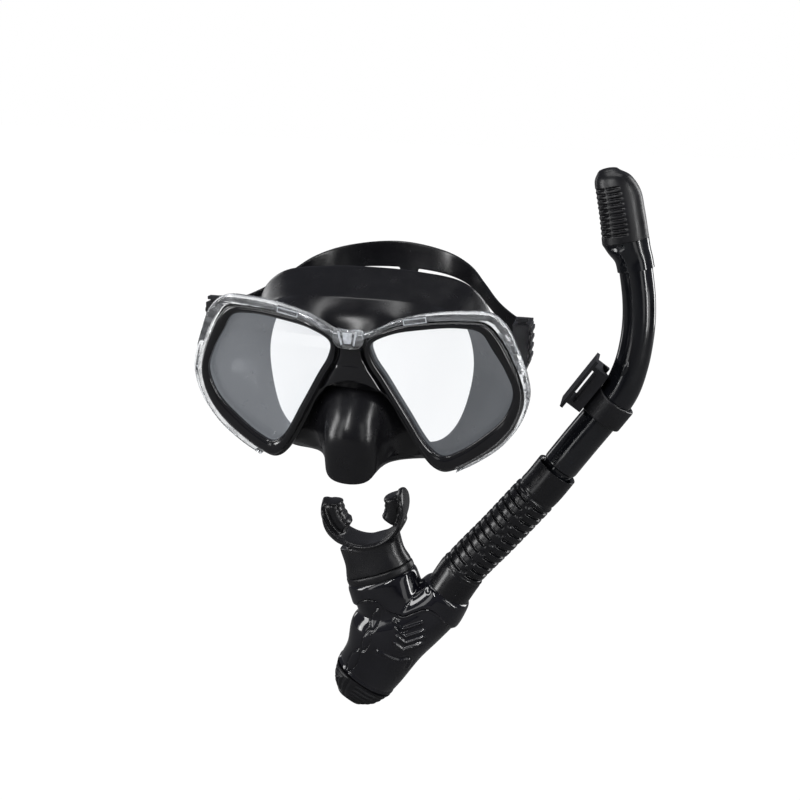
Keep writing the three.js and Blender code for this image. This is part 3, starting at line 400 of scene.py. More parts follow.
# The lens glass gets a faint painted sheen, a glow that stands in for reflected light.
LOOKS["lens_glass"] = see_through(
    "lens_glass", (0.98, 0.985, 0.99), (0.03, 0.06), 0.02,
    scale=30, stretch=(1, 1, 0.4), depth=0.002, painted_sheen=0.05,
)
LOOKS["clear_plastic"] = clear_solid("clear_plastic", 150, 0.5)
LOOKS["frosted_plastic"] = see_through(
    "frosted_plastic", (0.95, 0.96, 0.97), (0.55, 0.95), 0.18, scale=420, stretch=(1, 1, 1), depth=0.1,
)
LOOKS["pin_steel"] = steel("pin_steel")

# ---- curves


# The pairs of knots that each of the three rounds of blending runs between.
KNOT_SPANS = [((0, 1), (1, 2), (2, 3)), ((0, 2), (1, 3)), ((1, 2),)]


def spline(points, count, closed=False):
    """Centripetal Catmull-Rom curve through the points, sampled at equal steps of length."""
    given = np.array(points, float)
    if closed:
        control = np.vstack([given[-1], given, given[0], given[1]])
    else:
        control = np.vstack([2 * given[0] - given[1], given, 2 * given[-1] - given[-2]])
    fine = []
    for i in range(1, len(control) - 2):
        near = control[i - 1:i + 3]
        steps = np.linalg.norm(np.diff(near, axis=0), axis=1) ** 0.5 + 1e-9
        knots = np.concatenate([[0], np.cumsum(steps)])
        for t in np.linspace(knots[1], knots[2], 24, endpoint=False):
            level = near
            for spans in KNOT_SPANS:
                level = [
                    ((knots[b] - t) * level[k] + (t - knots[a]) * level[k + 1]) / (knots[b] - knots[a])
                    for k, (a, b) in enumerate(spans)
                ]
            fine.append(level[0])
    fine.append(control[-2])
    return resampled(np.array(fine), count, closed)


def resampled(line, count, closed=False):
    steps = np.concatenate([[0], np.cumsum(np.linalg.norm(np.diff(line, axis=0), axis=1))])
    places = np.linspace(0, steps[-1], count, endpoint=not closed)
    return np.stack([np.interp(places, steps, line[:, k]) for k in range(line.shape[1])], axis=1)


def unit(vectors):
    return vectors / np.linalg.norm(vectors, axis=1)[:, None]


def bell(distance, width, power=2):
    """One at no distance, falling away beyond the width, more steeply for a higher power."""
    return np.exp(-np.abs(distance / width) ** power)


def grown(outline, distance):
    """Moves a closed (x, z) outline along its outward normals."""
    along = unit(np.roll(outline, -1, 0) - np.roll(outline, 1, 0))
    x, z = outline[:, 0], outline[:, 1]
    area = np.sum(x * np.roll(z, -1) - np.roll(x, -1) * z)
    out = np.stack([along[:, 1], -along[:, 0]], axis=1) * (1 if area > 0 else -1)
    return outline + out * distance


def flipped(outline):
    return outline * np.array([-1, 1])


def both_halves(right):
    right = np.array(right, float)
    left = flipped(right[np.abs(right[:, 0]) > 1e-6])[::-1]
    return np.vstack([right, left])


def matched(inner, outer, middle):
    """For each point of the inner outline, the outer outline's point in the same direction."""
    def angle(line):
        return np.unwrap(np.arctan2(line[:, 1] - middle[1], line[:, 0] - middle[0]))
    inside, outside = angle(inner), angle(outer)
    if outside[-1] < outside[0]:
        outside, outer = outside[::-1], outer[::-1]
    turned = np.concatenate([outside - 2 * np.pi, outside, outside + 2 * np.pi])
    points = np.vstack([outer, outer, outer])
    wrapped = np.mod(inside - outside[0], 2 * np.pi) + outside[0]
    return np.stack([np.interp(wrapped, turned, points[:, k]) for k in (0, 1)], axis=1)


def face_depth(x, z):
    """How far back the lens planes lie; they meet at a flat bridge through a soft fold."""
    side = np.abs(x) - BRIDGE_FLAT
    outward = (side + np.sqrt(side ** 2 + 1.5)) / 2
    return FACE_Y + FACE_YAW * (BRIDGE_FLAT + outward) - FACE_PITCH * z


# ---- meshes


def loft(rings, loop=False):
    """Points and faces of a skin through rings with equal point counts, capped unless it is a loop."""
    rings = [np.array(ring, float) for ring in rings]
    count, total = len(rings[0]), len(rings)
    faces = []
    for i in range(total if loop else total - 1):
        here, there = i * count, ((i + 1) % total) * count
        for k in range(count):
            n = (k + 1) % count
            faces.append((here + k, here + n, there + n, there + k))
    if not loop:
        faces.append(tuple(range(count)))
        faces.append(tuple((total - 1) * count + k for k in range(count)))
    return np.vstack(rings), faces


def merged(*parts):
    points, faces, start = [], [], 0
    for part_points, part_faces in parts:
        points.append(part_points)
        faces += [tuple(i + start for i in face) for face in part_faces]
        start += len(part_points)
    return np.vstack(points), faces


def mirrored(part):
    return part[0] * np.array([-1, 1, 1]), part[1]


def on_side(part, side):
    """Parts are drawn for the right side and mirrored for the left."""
    return mirrored(part) if side == "left" else part


def to_mesh(name, part):
    points, faces = part
    mesh = bpy.data.meshes.new(name)
    mesh.from_pydata([tuple(p) for p in points], [], faces)
    work = bmesh.new()
    work.from_mesh(mesh)
    bmesh.ops.recalc_face_normals(work, faces=work.faces)
    work.to_mesh(mesh)
    work.free()
    return mesh


def in_scene(name, data):
    made = bpy.data.objects.new(name, data)
    bpy.context.scene.collection.objects.link(made)
    return made


def laid_out(name, part, look):
    """Turns points in millimetres from the datum into a smooth-shaded object."""
    mesh = to_mesh(name, part)
    mesh.transform(Matrix.Translation(DATUM) @ Matrix.Scale(MM, 4))
    mesh.materials.append(LOOKS[look])
    mesh.polygons.foreach_set("use_smooth", [True] * len(mesh.polygons))
    return in_scene(name, mesh)


def piece(name, part, body, look, replaces=(), sharp=38):
    """A finished object that rides on a body; edges that turn more than the sharp angle stay crisp."""
    made = laid_out(name, part, look)
    made.data.set_sharp_from_angle(angle=math.radians(sharp))
    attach(made, body)
    if replaces:
        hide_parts(*replaces)
    return made


def rounded(made, width):
    bevel = made.modifiers.new("rounded_edges", "BEVEL")
    bevel.width = width * MM
    bevel.segments = 3
    bevel.limit_method = "ANGLE"
    bevel.angle_limit = math.radians(35)


def subdivided(made, levels):
    smooth = made.modifiers.new("smooth", "SUBSURF")
    smooth.levels = smooth.render_levels = levels


def mesh_arrays(mesh):
    points = np.empty(len(mesh.vertices) * 3)
    mesh.vertices.foreach_get("co", points)
    return points.reshape(-1, 3), [tuple(face.vertices) for face in mesh.polygons]


def applied(part, kind, **values):
    """Runs one modifier on a bare part and gives back its points and faces."""
    mesh = to_mesh("work", part)
    holder = in_scene("work", mesh)
    modifier = holder.modifiers.new("work", kind)
    for key, value in values.items():
        setattr(modifier, key, value)
    graph = bpy.context.evaluated_depsgraph_get()
    result = bpy.data.meshes.new_from_object(holder.evaluated_get(graph))
    arrays = mesh_arrays(result)
    bpy.data.objects.remove(holder)
    bpy.data.meshes.remove(mesh)
    bpy.data.meshes.remove(result)
    return arrays


def relaxed(part, rounds):
    """Evens out a skin by moving each point half way to the mean of its neighbours, again and again."""
    points, faces = part
    pairs = {tuple(sorted((face[k], face[k - 1]))) for face in faces for k in range(len(face))}
    a, b = np.array(sorted(pairs)).T
    degree = np.bincount(np.concatenate([a, b]), minlength=len(points))[:, None]
    for _ in range(rounds):
        total = np.zeros_like(points)
        np.add.at(total, a, points[b])
        np.add.at(total, b, points[a])
        points = points + 0.5 * (total / degree - points)
    return points, faces


def one_skin(parts, voxel, rounds):
    """Overlapping closed parts joined into a single even skin."""
    return relaxed(applied(merged(*parts), "REMESH", mode="VOXEL", voxel_size=voxel), rounds)


def point_normals(part):
    mesh = to_mesh("work", part)
    normals = np.empty(len(mesh.vertices) * 3)
    mesh.vertices.foreach_get("normal", normals)
    bpy.data.meshes.remove(mesh)
    return normals.reshape(-1, 3)


def plate(outline, holes, front, back, bevel):
    """A plate with rounded edges, cut out of the front view and laid on the lens planes."""
    curve = bpy.data.curves.new("plate", "CURVE")
    curve.dimensions = "2D"
    curve.fill_mode = "BOTH"
    curve.extrude = (back - front) / 2 - bevel
    curve.bevel_depth = bevel
    curve.bevel_resolution = 2
    curve.offset = -bevel
    for loop in [outline, *holes]:
        line = curve.splines.new("POLY")
        line.points.add(len(loop) - 1)
        for point, (x, z) in zip(line.points, loop):
            point.co = (x, z, 0, 1)
        line.use_cyclic_u = True
    holder = in_scene("plate", curve)
    mesh = bpy.data.meshes.new_from_object(holder)
    work = bmesh.new()
    work.from_mesh(mesh)
    bmesh.ops.remove_doubles(work, verts=work.verts, dist=1e-4)
    for middle in (-BRIDGE_FLAT, BRIDGE_FLAT):
        for x in (middle - BRIDGE_FOLD, middle, middle + BRIDGE_FOLD):
            everything = [*work.verts, *work.edges, *work.faces]
            bmesh.ops.bisect_plane(work, geom=everything, plane_co=(x, 0, 0), plane_no=(1, 0, 0))
    work.to_mesh(mesh)
    work.free()
    flat, faces = mesh_arrays(mesh)
    bpy.data.objects.remove(holder)
    bpy.data.curves.remove(curve)
    x, z, height = flat.T
    depth = (front + back) / 2 - height
    return np.stack([x, depth + face_depth(x, z), z], axis=1), faces


def rim_band(inner, outer, profile, loop=True):
    """A band between two outlines; the profile is (share from inner to outer, depth) all the way round."""
    rings = []
    for a, b in zip(inner, outer):
        ring = []
        for share, depth in profile:
            x, z = (1 - share) * a + share * b
            ring.append((x, face_depth(x, z) + depth, z))
        rings.append(ring)
    return loft(rings, loop=loop)


# ---- mask

lens_edge = spline(LENS_EDGE, 220, closed=True)
frame_edge = both_halves(spline(FRAME_EDGE, 200))


def make_lens(side):
    part = plate(grown(lens_edge, LENS_TUCK), [], LENS_FRONT + 0.05, LENS_FRONT + LENS_THICK, 0.3)
    piece(f"lens_{side}_glass", on_side(part, side), "mask", "lens_glass", replaces=[f"lens_{side}"])


def make_bezel(side):
    """The polished ring in front of each lens, with a raised lip at the glass and a rolled outer edge."""
    outer = matched(lens_edge, spline(BEZEL_EDGE, 400, closed=True), LENS_MIDDLE)
    part = on_side(rim_band(lens_edge, outer, BEZEL_PROFILE), side)
    piece(f"bezel_{side}_ring", part, "mask", "frame_black", replaces=[f"bezel_{side}"], sharp=50)


def web_surface():
    """The glossy web between the lenses: a crowned sheet from the bridge down to the nose arch."""
    rows, columns = 40, 49
    side = spline(WEB_SIDE, rows)
    arch = both_halves(WEB_ARCH[::-1])
    bottom = spline(arch[np.argsort(arch[:, 0])], columns)
    rings = []
    for i in range(rows):
        v = i / (rows - 1)
        half, height = side[i]
        front, back = [], []
        for k in range(columns):
            u = 2 * k / (columns - 1) - 1
            x, z = u * half, height + (bottom[k][1] - side[-1][1]) * v ** 2.2
            rolled = WEB["side_roll"] * abs(u) ** 6 + WEB["foot_roll"] * max(0, (v - 0.88) / 0.12) ** 2
            dish = WEB["dish"] * bell(v - 0.34, 0.05) * (1 - u * u)
            front.append((x, face_depth(x, z) - WEB["proud"] + rolled + dish, z))
            back.append((x, face_depth(x, z) + WEB["behind"], z))
        rings.append(front + back[::-1])
    return loft(rings)


def nose_lip():
    """Lip behind the nose arch that closes the frame down onto the top of the nose pocket."""
    right = spline(NOSE_LINE, 30)
    arch = np.vstack([flipped(right[1:])[::-1], right])
    out = grown(arch, NOSE_LIP["thick"])
    out[0], out[-1] = arch[0], arch[-1]
    rings = []
    for (x, z), (far_x, far_z) in zip(arch, out):
        start = face_depth(x, z) + FRAME_BACK - NOSE_LIP["lap"]
        end = start + NOSE_LIP["deep"]
        drop = NOSE_LIP["drop"] * max(0, 1 - abs(x) / NOSE_LIP["drop_half"])
        inward = 1 - NOSE_LIP["inward"] * min(abs(x) / NOSE_LIP["inward_by"], 1)
        rings.append([
            (x, start, z), (far_x, start, far_z),
            (far_x * inward, end, far_z - drop), (x * inward, end, z - drop),
        ])
    return loft(rings)


def make_frame():
    """Front and back plates that clamp the lenses, with the web and the nose lip."""
    seat, pocket = grown(lens_edge, GAP), grown(lens_edge, LENS_TUCK + GAP)
    front = plate(frame_edge, [pocket, flipped(pocket)], LENS_FRONT, FRAME_BACK - 1.2, 0.5)
    behind_lens = LENS_FRONT + LENS_THICK + GAP
    back = plate(grown(frame_edge, -0.6), [seat, flipped(seat)], behind_lens, FRAME_BACK, 0.5)
    shell = merged(front, back, web_surface(), nose_lip())
    piece("frame_shell", shell, "mask", "frame_black", replaces=["main_frame"])


def make_trim():
    """The clear plastic round the outside of the frame, thick over the brow and narrow at its ends."""
    outer = spline(TRIM_EDGE, 150)
    inner = spline(FRAME_EDGE[:TRIM_END + 1], 150)
    outward = outer - inner
    narrowing = np.clip((-4 - inner[:, 1]) / 45, 0, 0.55)
    outer = outer - outward * narrowing[:, None]
    inner = inner + unit(outward) * GAP
    inner[0, 0] = outer[0, 0] = 0
    profile = [
        (0, TRIM_FRONT), (0.3, TRIM_FRONT - 0.15), (0.62, TRIM_FRONT), (0.84, -1.9), (0.96, -1.1), (1, -0.1),
        (1, 2.5), (0.97, 5), (0.9, 7.2), (0.75, TRIM_BACK), (0, TRIM_BACK),
    ]
    halves = [np.vstack([flipped(line[1:])[::-1], line]) for line in (inner, outer)]
    band = rim_band(*halves, profile, loop=False)
    piece("trim_band", band, "mask", "clear_plastic", replaces=["clear_trim"])


def make_cover():
    """Clear block over the bridge, with a frosted window between two frosted bars on its face."""
    outline = spline(both_halves(COVER_EDGE), 80, closed=True)
    block = plate(outline, [], COVER_FRONT, TRIM_FRONT - GAP, 0.7)
    piece("bridge_block", block, "mask", "clear_plastic", replaces=["bridge_cover"])
    bar = np.array(COVER_BAR)
    marks = [plate(line, [], COVER_FRONT - 0.5, COVER_FRONT + 0.4, 0.2) for line in (flipped(bar), bar)]
    marks.append(plate(np.array(COVER_WINDOW), [], COVER_FRONT - 0.25, COVER_FRONT + 0.3, 0.15))
    piece("bridge_ribs", merged(*marks), "mask", "frosted_plastic")


def make_latch(side):
    """Outlined latch window in the brow of the clear trim."""
    slope = math.radians(LATCH["slope"])
    turn = np.array([[math.cos(slope), -math.sin(slope)], [math.sin(slope), math.cos(slope)]])
    loops = []
    for inset in (0, LATCH["line"]):
        w, h = LATCH["half_width"] - inset, LATCH["half_height"] - inset
        loops.append(LATCH["middle"] + np.array([(-w, -h), (w, -h), (w, h), (-w, h)]) @ turn.T)
    part = on_side(plate(loops[0], [loops[1]], TRIM_FRONT - 0.55, TRIM_FRONT + 0.2, 0.12), side)
    piece(f"latch_window_{side}", part, "mask", "frosted_plastic")


def skirt_row(row, count):
    right = [station[row] for station in SKIRT_STATIONS]
    left = [(-x, y, z) for x, y, z in right[1:-1]][::-1]
    return spline(right + left, count, closed=True)


def raised(row, neighbour, distance):
    """Moves a row off the sheet that it spans with its neighbour, to give the sheet thickness."""
    along = np.roll(row, -1, 0) - np.roll(row, 1, 0)
    return row + unit(np.cross(along, neighbour - row)) * distance


def seated(row):
    """Lays a row on the back of the frame."""
    depth = face_depth(np.maximum(np.abs(row[:, 0]), SEAT_SPAN), row[:, 2]) + FRAME_BACK + GAP
    return np.stack([row[:, 0], depth, row[:, 2]], axis=1)


def towards(row, other, distance):
    """Steps a short way from one row towards another, to hold an edge firm."""
    return row + unit(other - row) * distance


def forked(crease, tip, lip):
    """The row where the inner faces of the flange and the sealing lip meet."""
    flange, seal = unit(tip - crease), unit(lip - crease)
    spread = np.linalg.norm(np.cross(flange, seal), axis=1)
    return crease + flange * np.minimum(FLANGE_THICK / spread, FORK_REACH)[:, None]


def make_skirt():
    """Silicone wall that forks at its crease into the inner sealing lip and the outer flange."""
    front, wall, crease, tip, lip = [skirt_row(row, 156) for row in range(5)]
    rim, rim_out = seated(front), seated(raised(front, wall, SKIRT_THICK))
    wall_out, crease_out = raised(wall, crease, SKIRT_THICK), raised(crease, tip, SKIRT_THICK)
    lip_back, fork = raised(lip, crease, -FLANGE_THICK), forked(crease, tip, lip)
    tip_out = raised(tip, crease, -FLANGE_THICK)
    # Each surface is a list of (row, whether a row close by holds it firm).
    surfaces = [
        [(rim, True), (wall, False), (crease, False), (lip, True)],
        [(lip_back, True), (fork, True), (tip, True)],
        [(tip_out, True), (crease_out, True), (wall_out, False), (rim_out, True)],
    ]
    rings = []
    for surface in surfaces:
        rings.append(surface[0][0])
        for (row, firm), (following, following_firm) in zip(surface, surface[1:]):
            if firm:
                rings.append(towards(row, following, SKIRT_HOLD))
            rings.append((row + following) / 2)
            if following_firm:
                rings.append(towards(following, row, SKIRT_HOLD))
            rings.append(following)
    made = piece("skirt_silicone", loft(rings, loop=True), "mask", "silicone", replaces=["skirt"], sharp=180)
    subdivided(made, 1)


# ---- strap and buckles


def strap_path():
    """Middle line and half height from one tucked end, round its roller and the back, to the other end."""
    x, y, turn = ROLLER["x"], ROLLER["y"], ROLLER["turn"]
    arc = [(x - turn * math.sin(a), y - turn * math.cos(a)) for a in np.radians(np.linspace(90, -90, 9))]
    loop = [(x - turn - 0.1, y + 9), (x - turn, y + 4)] + arc + [(x + turn * 0.85, y + 4)]
    right = [(px, py, ROLLER["z"], ROLLER["half"]) for px, py in loop] + STRAP_STATIONS
    left = [(-px, py, pz, half) for px, py, pz, half in right[:-1]][::-1]
    return spline(right + left, 181)


def make_strap():
    """One band with a long slot on each side of the head, thickened and smoothed."""
    path = strap_path()
    x, y, middle, half = path.T
    slotted = (y > STRAP_SLOT["behind"]) & ((x > STRAP_SLOT["right_of"]) | (x < STRAP_SLOT["left_of"]))
    inner = half * STRAP_SLOT["share"]
    steps = [half, half - STRAP_HOLD, (half + inner) / 2, inner + STRAP_HOLD, inner]
    levels = steps + [-level for level in steps[::-1]]
    slot_row = len(steps) - 1
    width = len(levels)
    lines = [np.stack([x, y, middle + level], axis=1) for level in levels]
    points = np.stack(lines, axis=1).reshape(-1, 3)
    faces = []
    for i in range(len(path) - 1):
        for k in range(width - 1):
            if k != slot_row or not (slotted[i] and slotted[i + 1]):
                start = i * width + k
                faces.append((start, start + 1, start + 1 + width, start + width))
    made = piece("strap_band", (points, faces), "buckle_left", "silicone", replaces=["strap"], sharp=180)
    thick = made.modifiers.new("thickness", "SOLIDIFY")
    thick.thickness = STRAP_THICK * MM
    thick.offset = 0
    thick.use_even_offset = True
    subdivided(made, 2)


def box_part(low, high):
    (x0, y0, z0), (x1, y1, z1) = low, high
    points = np.array([(x, y, z) for x in (x0, x1) for y in (y0, y1) for z in (z0, z1)], float)
    return points, [(0, 1, 3, 2), (4, 6, 7, 5), (0, 4, 5, 1), (2, 3, 7, 6), (0, 2, 6, 4), (1, 5, 7, 3)]


def make_buckle_ribs(side):
    """Level grip ribs round the outer cheek and the back of each buckle."""
    low, high = [from_frame(corner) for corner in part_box("buckle_body_right")]
    inside, proud = high.x - GRIP["cheek"], high.x + GRIP["proud"]
    parts = [box_part((inside, low.y + 9, low.z + 1), (high.x + GRIP["cheek"], high.y - 3, high.z - 1))]
    for k in range(GRIP["ribs"]):
        z = low.z + GRIP["first"] + GRIP["pitch"] * k
        parts.append(box_part((inside, low.y + 1.5, z), (proud, high.y + 0.3, z + GRIP["high"])))
    made = piece(f"buckle_grip_{side}", on_side(merged(*parts), side), f"buckle_{side}", "frame_black")
    rounded(made, 0.45)


# ---- snorkel


def turns(count):
    """Equal steps once round, in radians."""
    return np.linspace(0, 2 * np.pi, count, endpoint=False)


def plane_ring(x, z, along, half_width, half_depth, count, power=2.0):
    """A ring round a point of the snorkel plane, square to the direction along."""
    across = np.array([along[1], -along[0]])
    c, s = np.cos(turns(count)), np.sin(turns(count))
    wide = np.sign(c) * np.abs(c) ** (2 / power) * half_width
    deep = np.sign(s) * np.abs(s) ** (2 / power) * half_depth
    return np.stack([x + across[0] * wide, SNORKEL_Y + deep, z + across[1] * wide], axis=1)


def tube_rings(line, count):
    """Rings along (x, z, radius) points."""
    along = unit(np.gradient(line[:, :2], axis=0))
    return [plane_ring(x, z, a, r, r, count) for (x, z, r), a in zip(line, along)]


def direction(degrees):
    return np.array([math.cos(math.radians(degrees)), math.sin(math.radians(degrees))])


def flat_axis(vector):
    return np.array([vector.x, vector.z])


def row_rings(rows, along, levels, count, power=2.0):
    """Rings through (x, z, half width, half depth) rows, all square to one direction."""
    return [plane_ring(x, z, along, a, b, count, power) for x, z, a, b in spline(rows, levels)]


def make_barrel():
    """Bent tube with a shoulder at its foot and a small raised pip on its front."""
    line = np.vstack([[BARREL_FOOT], spline(BARREL_SHOULDER, 6), spline(BARREL_BEND, 150)])
    bore = np.column_stack([line[:, :2], np.minimum(line[:, 2], BARREL_NECK) - BARREL_WALL])
    body = loft(tube_rings(line, 72) + tube_rings(bore, 72)[::-1], loop=True)
    pip = [ring - (0, BARREL_NECK, 0) for ring in row_rings(PIP_ROWS, direction(PIP_ANGLE), 12, 20)]
    piece("barrel_tube", merged(body, loft(pip)), "barrel", "snorkel_black", replaces=["barrel"])


def make_hose():
    """Corrugated hose with a flat spine down its front and dimples along the spine."""
    segments = 160
    line = spline(HOSE_LINE, 420)
    along = unit(np.gradient(line, axis=0))
    from_spine = turns(segments) - 1.5 * np.pi
    spine = bell(np.degrees(from_spine), SPINE_HALF, 6)
    low, high = HOSE_SPAN
    dimple_pitch = np.linalg.norm(line[1] - line[0]) * len(line) * (high - low) / HOSE_DIMPLES
    rings = []
    for i, (x, z) in enumerate(line):
        t = i / (len(line) - 1)
        part = (t - low) / (high - low)
        base = HOSE["top"] if part < 0 else HOSE["bottom"] if part > 1 else HOSE["rib"]
        edge = 0.5 * bell(t - low + 0.012, 0.01) + 0.4 * bell(t - high - 0.012, 0.01)
        radius = np.full(segments, base - edge)
        if 0 <= part <= 1:
            groove = bell(part * HOSE_RIBS % 1 - 0.5, 0.15, 4) * (HOSE["rib"] - HOSE["root"])
            beat = part * HOSE_DIMPLES % 1 - 0.5
            reach = np.hypot(beat * dimple_pitch, from_spine * HOSE["rib"])
            radius = radius - groove * (1 - spine)
            radius = radius - DIMPLE_DEPTH * bell(reach, DIMPLE_RADIUS, 4) * spine
        rings.append(plane_ring(x, z, -along[i], radius, radius, segments))
    bore = HOSE["bore"]
    rings += [plane_ring(x, z, -a, bore, bore, segments) for (x, z), a in zip(line[::-6], along[::-6])]
    made = laid_out("hose_ribbed", loft(rings, loop=True), "silicone")
    axis = Vector((line[-1][0] - line[0][0], 0, line[-1][1] - line[0][1])).normalized()
    pivot, reach = DATUM + HOSE_PIVOT * MM, axis * HOSE_REACH * MM
    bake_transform(made)
    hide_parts("flex_hose")


def seam_height(x):
    """Height of the wavy joint between the two halves of the chamber."""
    return np.interp(x, *spline(SEAM_WAVE, 240).T)


def leaf_depth(x, z, middle, lean, long, wide):
    """Height of a pointed oval leaf inside a fine groove."""
    c, s = direction(lean)
    u = ((x - middle[0]) * c + (z - middle[1]) * s) / long
    v = ((z - middle[1]) * c - (x - middle[0]) * s) / wide
    reach = np.abs(u) ** 1.6 + np.abs(v) ** 1.6
    return 0.4 * bell(reach, 0.7, 4) - 0.9 * bell(reach - 1, 0.16)


def chevron_height(x, z, apex_x, apex_z, height):
    """A ridge with a short arm to the upper left and a long one to the upper right."""
    right = x > apex_x
    slope = np.where(right, 0.46, -0.75)
    reach = np.where(right, 11.5, 5.5)
    distance = (z - apex_z - slope * (x - apex_x)) / np.hypot(1, slope)
    fade = 1 / (1 + np.exp((np.abs(x - apex_x) - reach) * 2.2))
    return (1.5 * height * bell(distance, 0.8, 4) - 0.5 * bell(distance + 1.6, 0.6)) * fade


def carved(points, normals):
    """Raises the chamber's leaves, ridges and rim and sinks its joint; also gives heights above the joint."""
    x, _, z = points.T
    lift = sum(leaf_depth(x, z, *leaf) for leaf in LEAVES)
    lift = lift + sum(chevron_height(x, z, *chevron) for chevron in CHEVRONS)
    panel = spline(CHAMBER_PANEL, 60)
    near = np.min(np.hypot(x[:, None] - panel[:, 0], z[:, None] - panel[:, 1]), axis=1)
    lift += 0.9 * bell(near, 0.7) - 0.4 * bell(near - 1.4, 0.6)
    lift -= 0.5 * bell(np.hypot(x - CHAMBER_DOT[0], z - CHAMBER_DOT[1]), 1.5, 4)
    lift *= np.clip(np.abs(normals[:, 1]) * 1.6 - 0.25, 0, 1)
    foot, axis = CHAMBER_RINGS[-1], flat_axis(CHAMBER_AXIS)
    above_rim = (x - foot[0]) * axis[0] + (z - foot[1]) * axis[1]
    lift += 0.5 * bell(above_rim - 1.6, 0.8) - 0.3 * bell(above_rim - 3.4, 0.7)
    gap = z - seam_height(x)
    lift += 0.9 * bell(gap + 1.3, 0.8) - 0.7 * bell(gap, 0.5)
    return points + normals * lift[:, None], gap


def make_chamber():
    """Glossy Y-shaped chamber: one smooth skin, carved, then parted along its wavy joint."""
    main = loft(row_rings(CHAMBER_RINGS, flat_axis(CHAMBER_AXIS), 30, 64, 2.25))
    neck = loft(row_rings(NECK_RINGS, direction(NECK_ANGLE), 16, 64, 2.2))
    points, faces = one_skin([main, neck], *CHAMBER_SKIN)
    points, gap = carved(points, point_normals((points, faces)))
    parts = {"chamber_upper": [], "chamber_lower": []}
    for face in faces:
        above = sum(gap[i] > 0 for i in face) * 2 >= len(face)
        parts["chamber_upper" if above else "chamber_lower"].append(face)
    upper, lower = [{i for face in chosen for i in face} for chosen in parts.values()]
    for i in upper & lower:
        points[i, 2] += np.clip(-gap[i], -0.6, 0.6)
    stands_for = {"chamber_upper": "chamber_body", "chamber_lower": "chamber_cover"}
    for name, chosen in parts.items():
        used = sorted({i for face in chosen for i in face})
        index = {old: new for new, old in enumerate(used)}
        part = points[used], [tuple(index[i] for i in face) for face in chosen]
        node = stands_for[name]
        made = piece(name, part, "chamber", "chamber_black", replaces=[node], sharp=180)
        shell = made.modifiers.new("wall", "SOLIDIFY")
        shell.thickness = CHAMBER_WALL * MM
        shell.offset = -1


def make_grille():
    """Purge outlet: a front-left face with nested ridges and a front-right face with level ones."""
    rows = spline(GRILLE_RINGS, 90)
    turn = np.linspace(0, 360, 320, endpoint=False)
    ridge = bell(turn - GRILLE["ridge"], GRILLE["ridge_half"])
    on_level = (turn > GRILLE["level_from"]) | (turn < GRILLE["level_to"])
    off_nested = np.abs(turn - GRILLE["nested"]) / GRILLE["nested_half"]
    high, plain = GRILLE_WAVE["high"], GRILLE_WAVE["plain_end"]
    rings = []
    for i, (x, z, a, b) in enumerate(rows):
        share = i / (len(rows) - 1)
        ring = plane_ring(x, z, flat_axis(CHAMBER_AXIS), a, b, len(turn), 2.8)
        reach = np.maximum(off_nested, np.abs(share - 0.5) / 0.46)
        nested = np.where(reach < 1, np.cos(2 * np.pi * GRILLE_WAVE["nested"] * reach), 0)
        level = np.where(on_level, math.cos(2 * np.pi * GRILLE_WAVE["level"] * share), 0)
        edge = min(share / plain, 1) * min((1 - share) / plain, 1)
        lift = edge * (high * (nested + level) * (1 - ridge) + GRILLE_WAVE["ridge_high"] * ridge - high)
        rings.append(ring + unit(ring - ring.mean(axis=0)) * lift[:, None])
    outlet = loft(rings)
    piece("purge_outlet", outlet, "chamber", "moulded_black", replaces=["purge_grille"])


def make_clamp():
    """Band round the joint between the chamber and the mouthpiece."""
    along = direction(NECK_ANGLE)
    outer = row_rings(CLAMP_RINGS, along, 14, 72)
    inner = [plane_ring(x, z, along, *CLAMP_BORE, 72) for x, z, _, _ in spline(CLAMP_RINGS, 14)]
    band = loft(outer + inner[::-1], loop=True)
    piece("clamp_band", band, "chamber", "moulded_black", replaces=["mouthpiece_clamp"])


def shield_sheet(start, end, inner, outer, half, taper):
    """A curved sheet round the shield's centre line that narrows over the taper share at each end."""
    rings = []
    turn = turns(28)
    for t in np.linspace(0, 1, 60):
        c, s = direction(start + (end - start) * t)
        close = min(min(t, 1 - t) / taper, 1)
        width = half * math.sqrt(max(1 - (1 - close) ** 2, 0.02))
        r = (inner + outer) / 2 + (outer - inner) / 2 * np.sin(turn)
        deep = np.sign(np.cos(turn)) * np.abs(np.cos(turn)) ** 0.6 * width
        rings.append(np.stack([SHIELD["x"] + r * c, SNORKEL_Y + deep, SHIELD["z"] + r * s], axis=1))
    return loft(rings)


def make_mouthpiece():
    """Curved shield with bite pads on a short neck, joined into one soft skin."""
    r, thick, half = SHIELD["r"], SHIELD["thick"], SHIELD["half"]
    shield = (SHIELD["from"], SHIELD["to"], r - thick / 2, r + thick / 2, half, SHIELD_TAPER)
    neck = loft(row_rings(MOUTH_NECK, direction(NECK_ANGLE), 16, 64, 2.2))
    sheets = [shield_sheet(*sheet) for sheet in [shield, *MOUTH_SHEETS]]
    points, faces = one_skin([*sheets, neck], *MOUTH_SKIN)
    normals = point_normals((points, faces))
    dx, dz = points[:, 0] - SHIELD["x"], points[:, 2] - SHIELD["z"]
    radius, angle = np.hypot(dx, dz), np.degrees(np.arctan2(dz, dx)) % 360
    off_middle = np.abs(points[:, 1] - SNORKEL_Y)
    on_pads = (off_middle < BITE["half"]) & (radius < BITE["radius"])
    ridges = np.where(on_pads, BITE["ridge"] * np.sin(np.radians(angle * BITE["per_turn"])), 0)
    on_rim = (radius > BITE["radius"]) * (points[:, 2] > BITE["rim_above"])
    rim = BITE["rim"] * bell(off_middle - half + 1.7, 0.7) * on_rim
    points = points + normals * (ridges - rim)[:, None]
    piece("mouthpiece_silicone", (points, faces), "chamber", "mouth_silicone",
          replaces=["mouthpiece"], sharp=180)


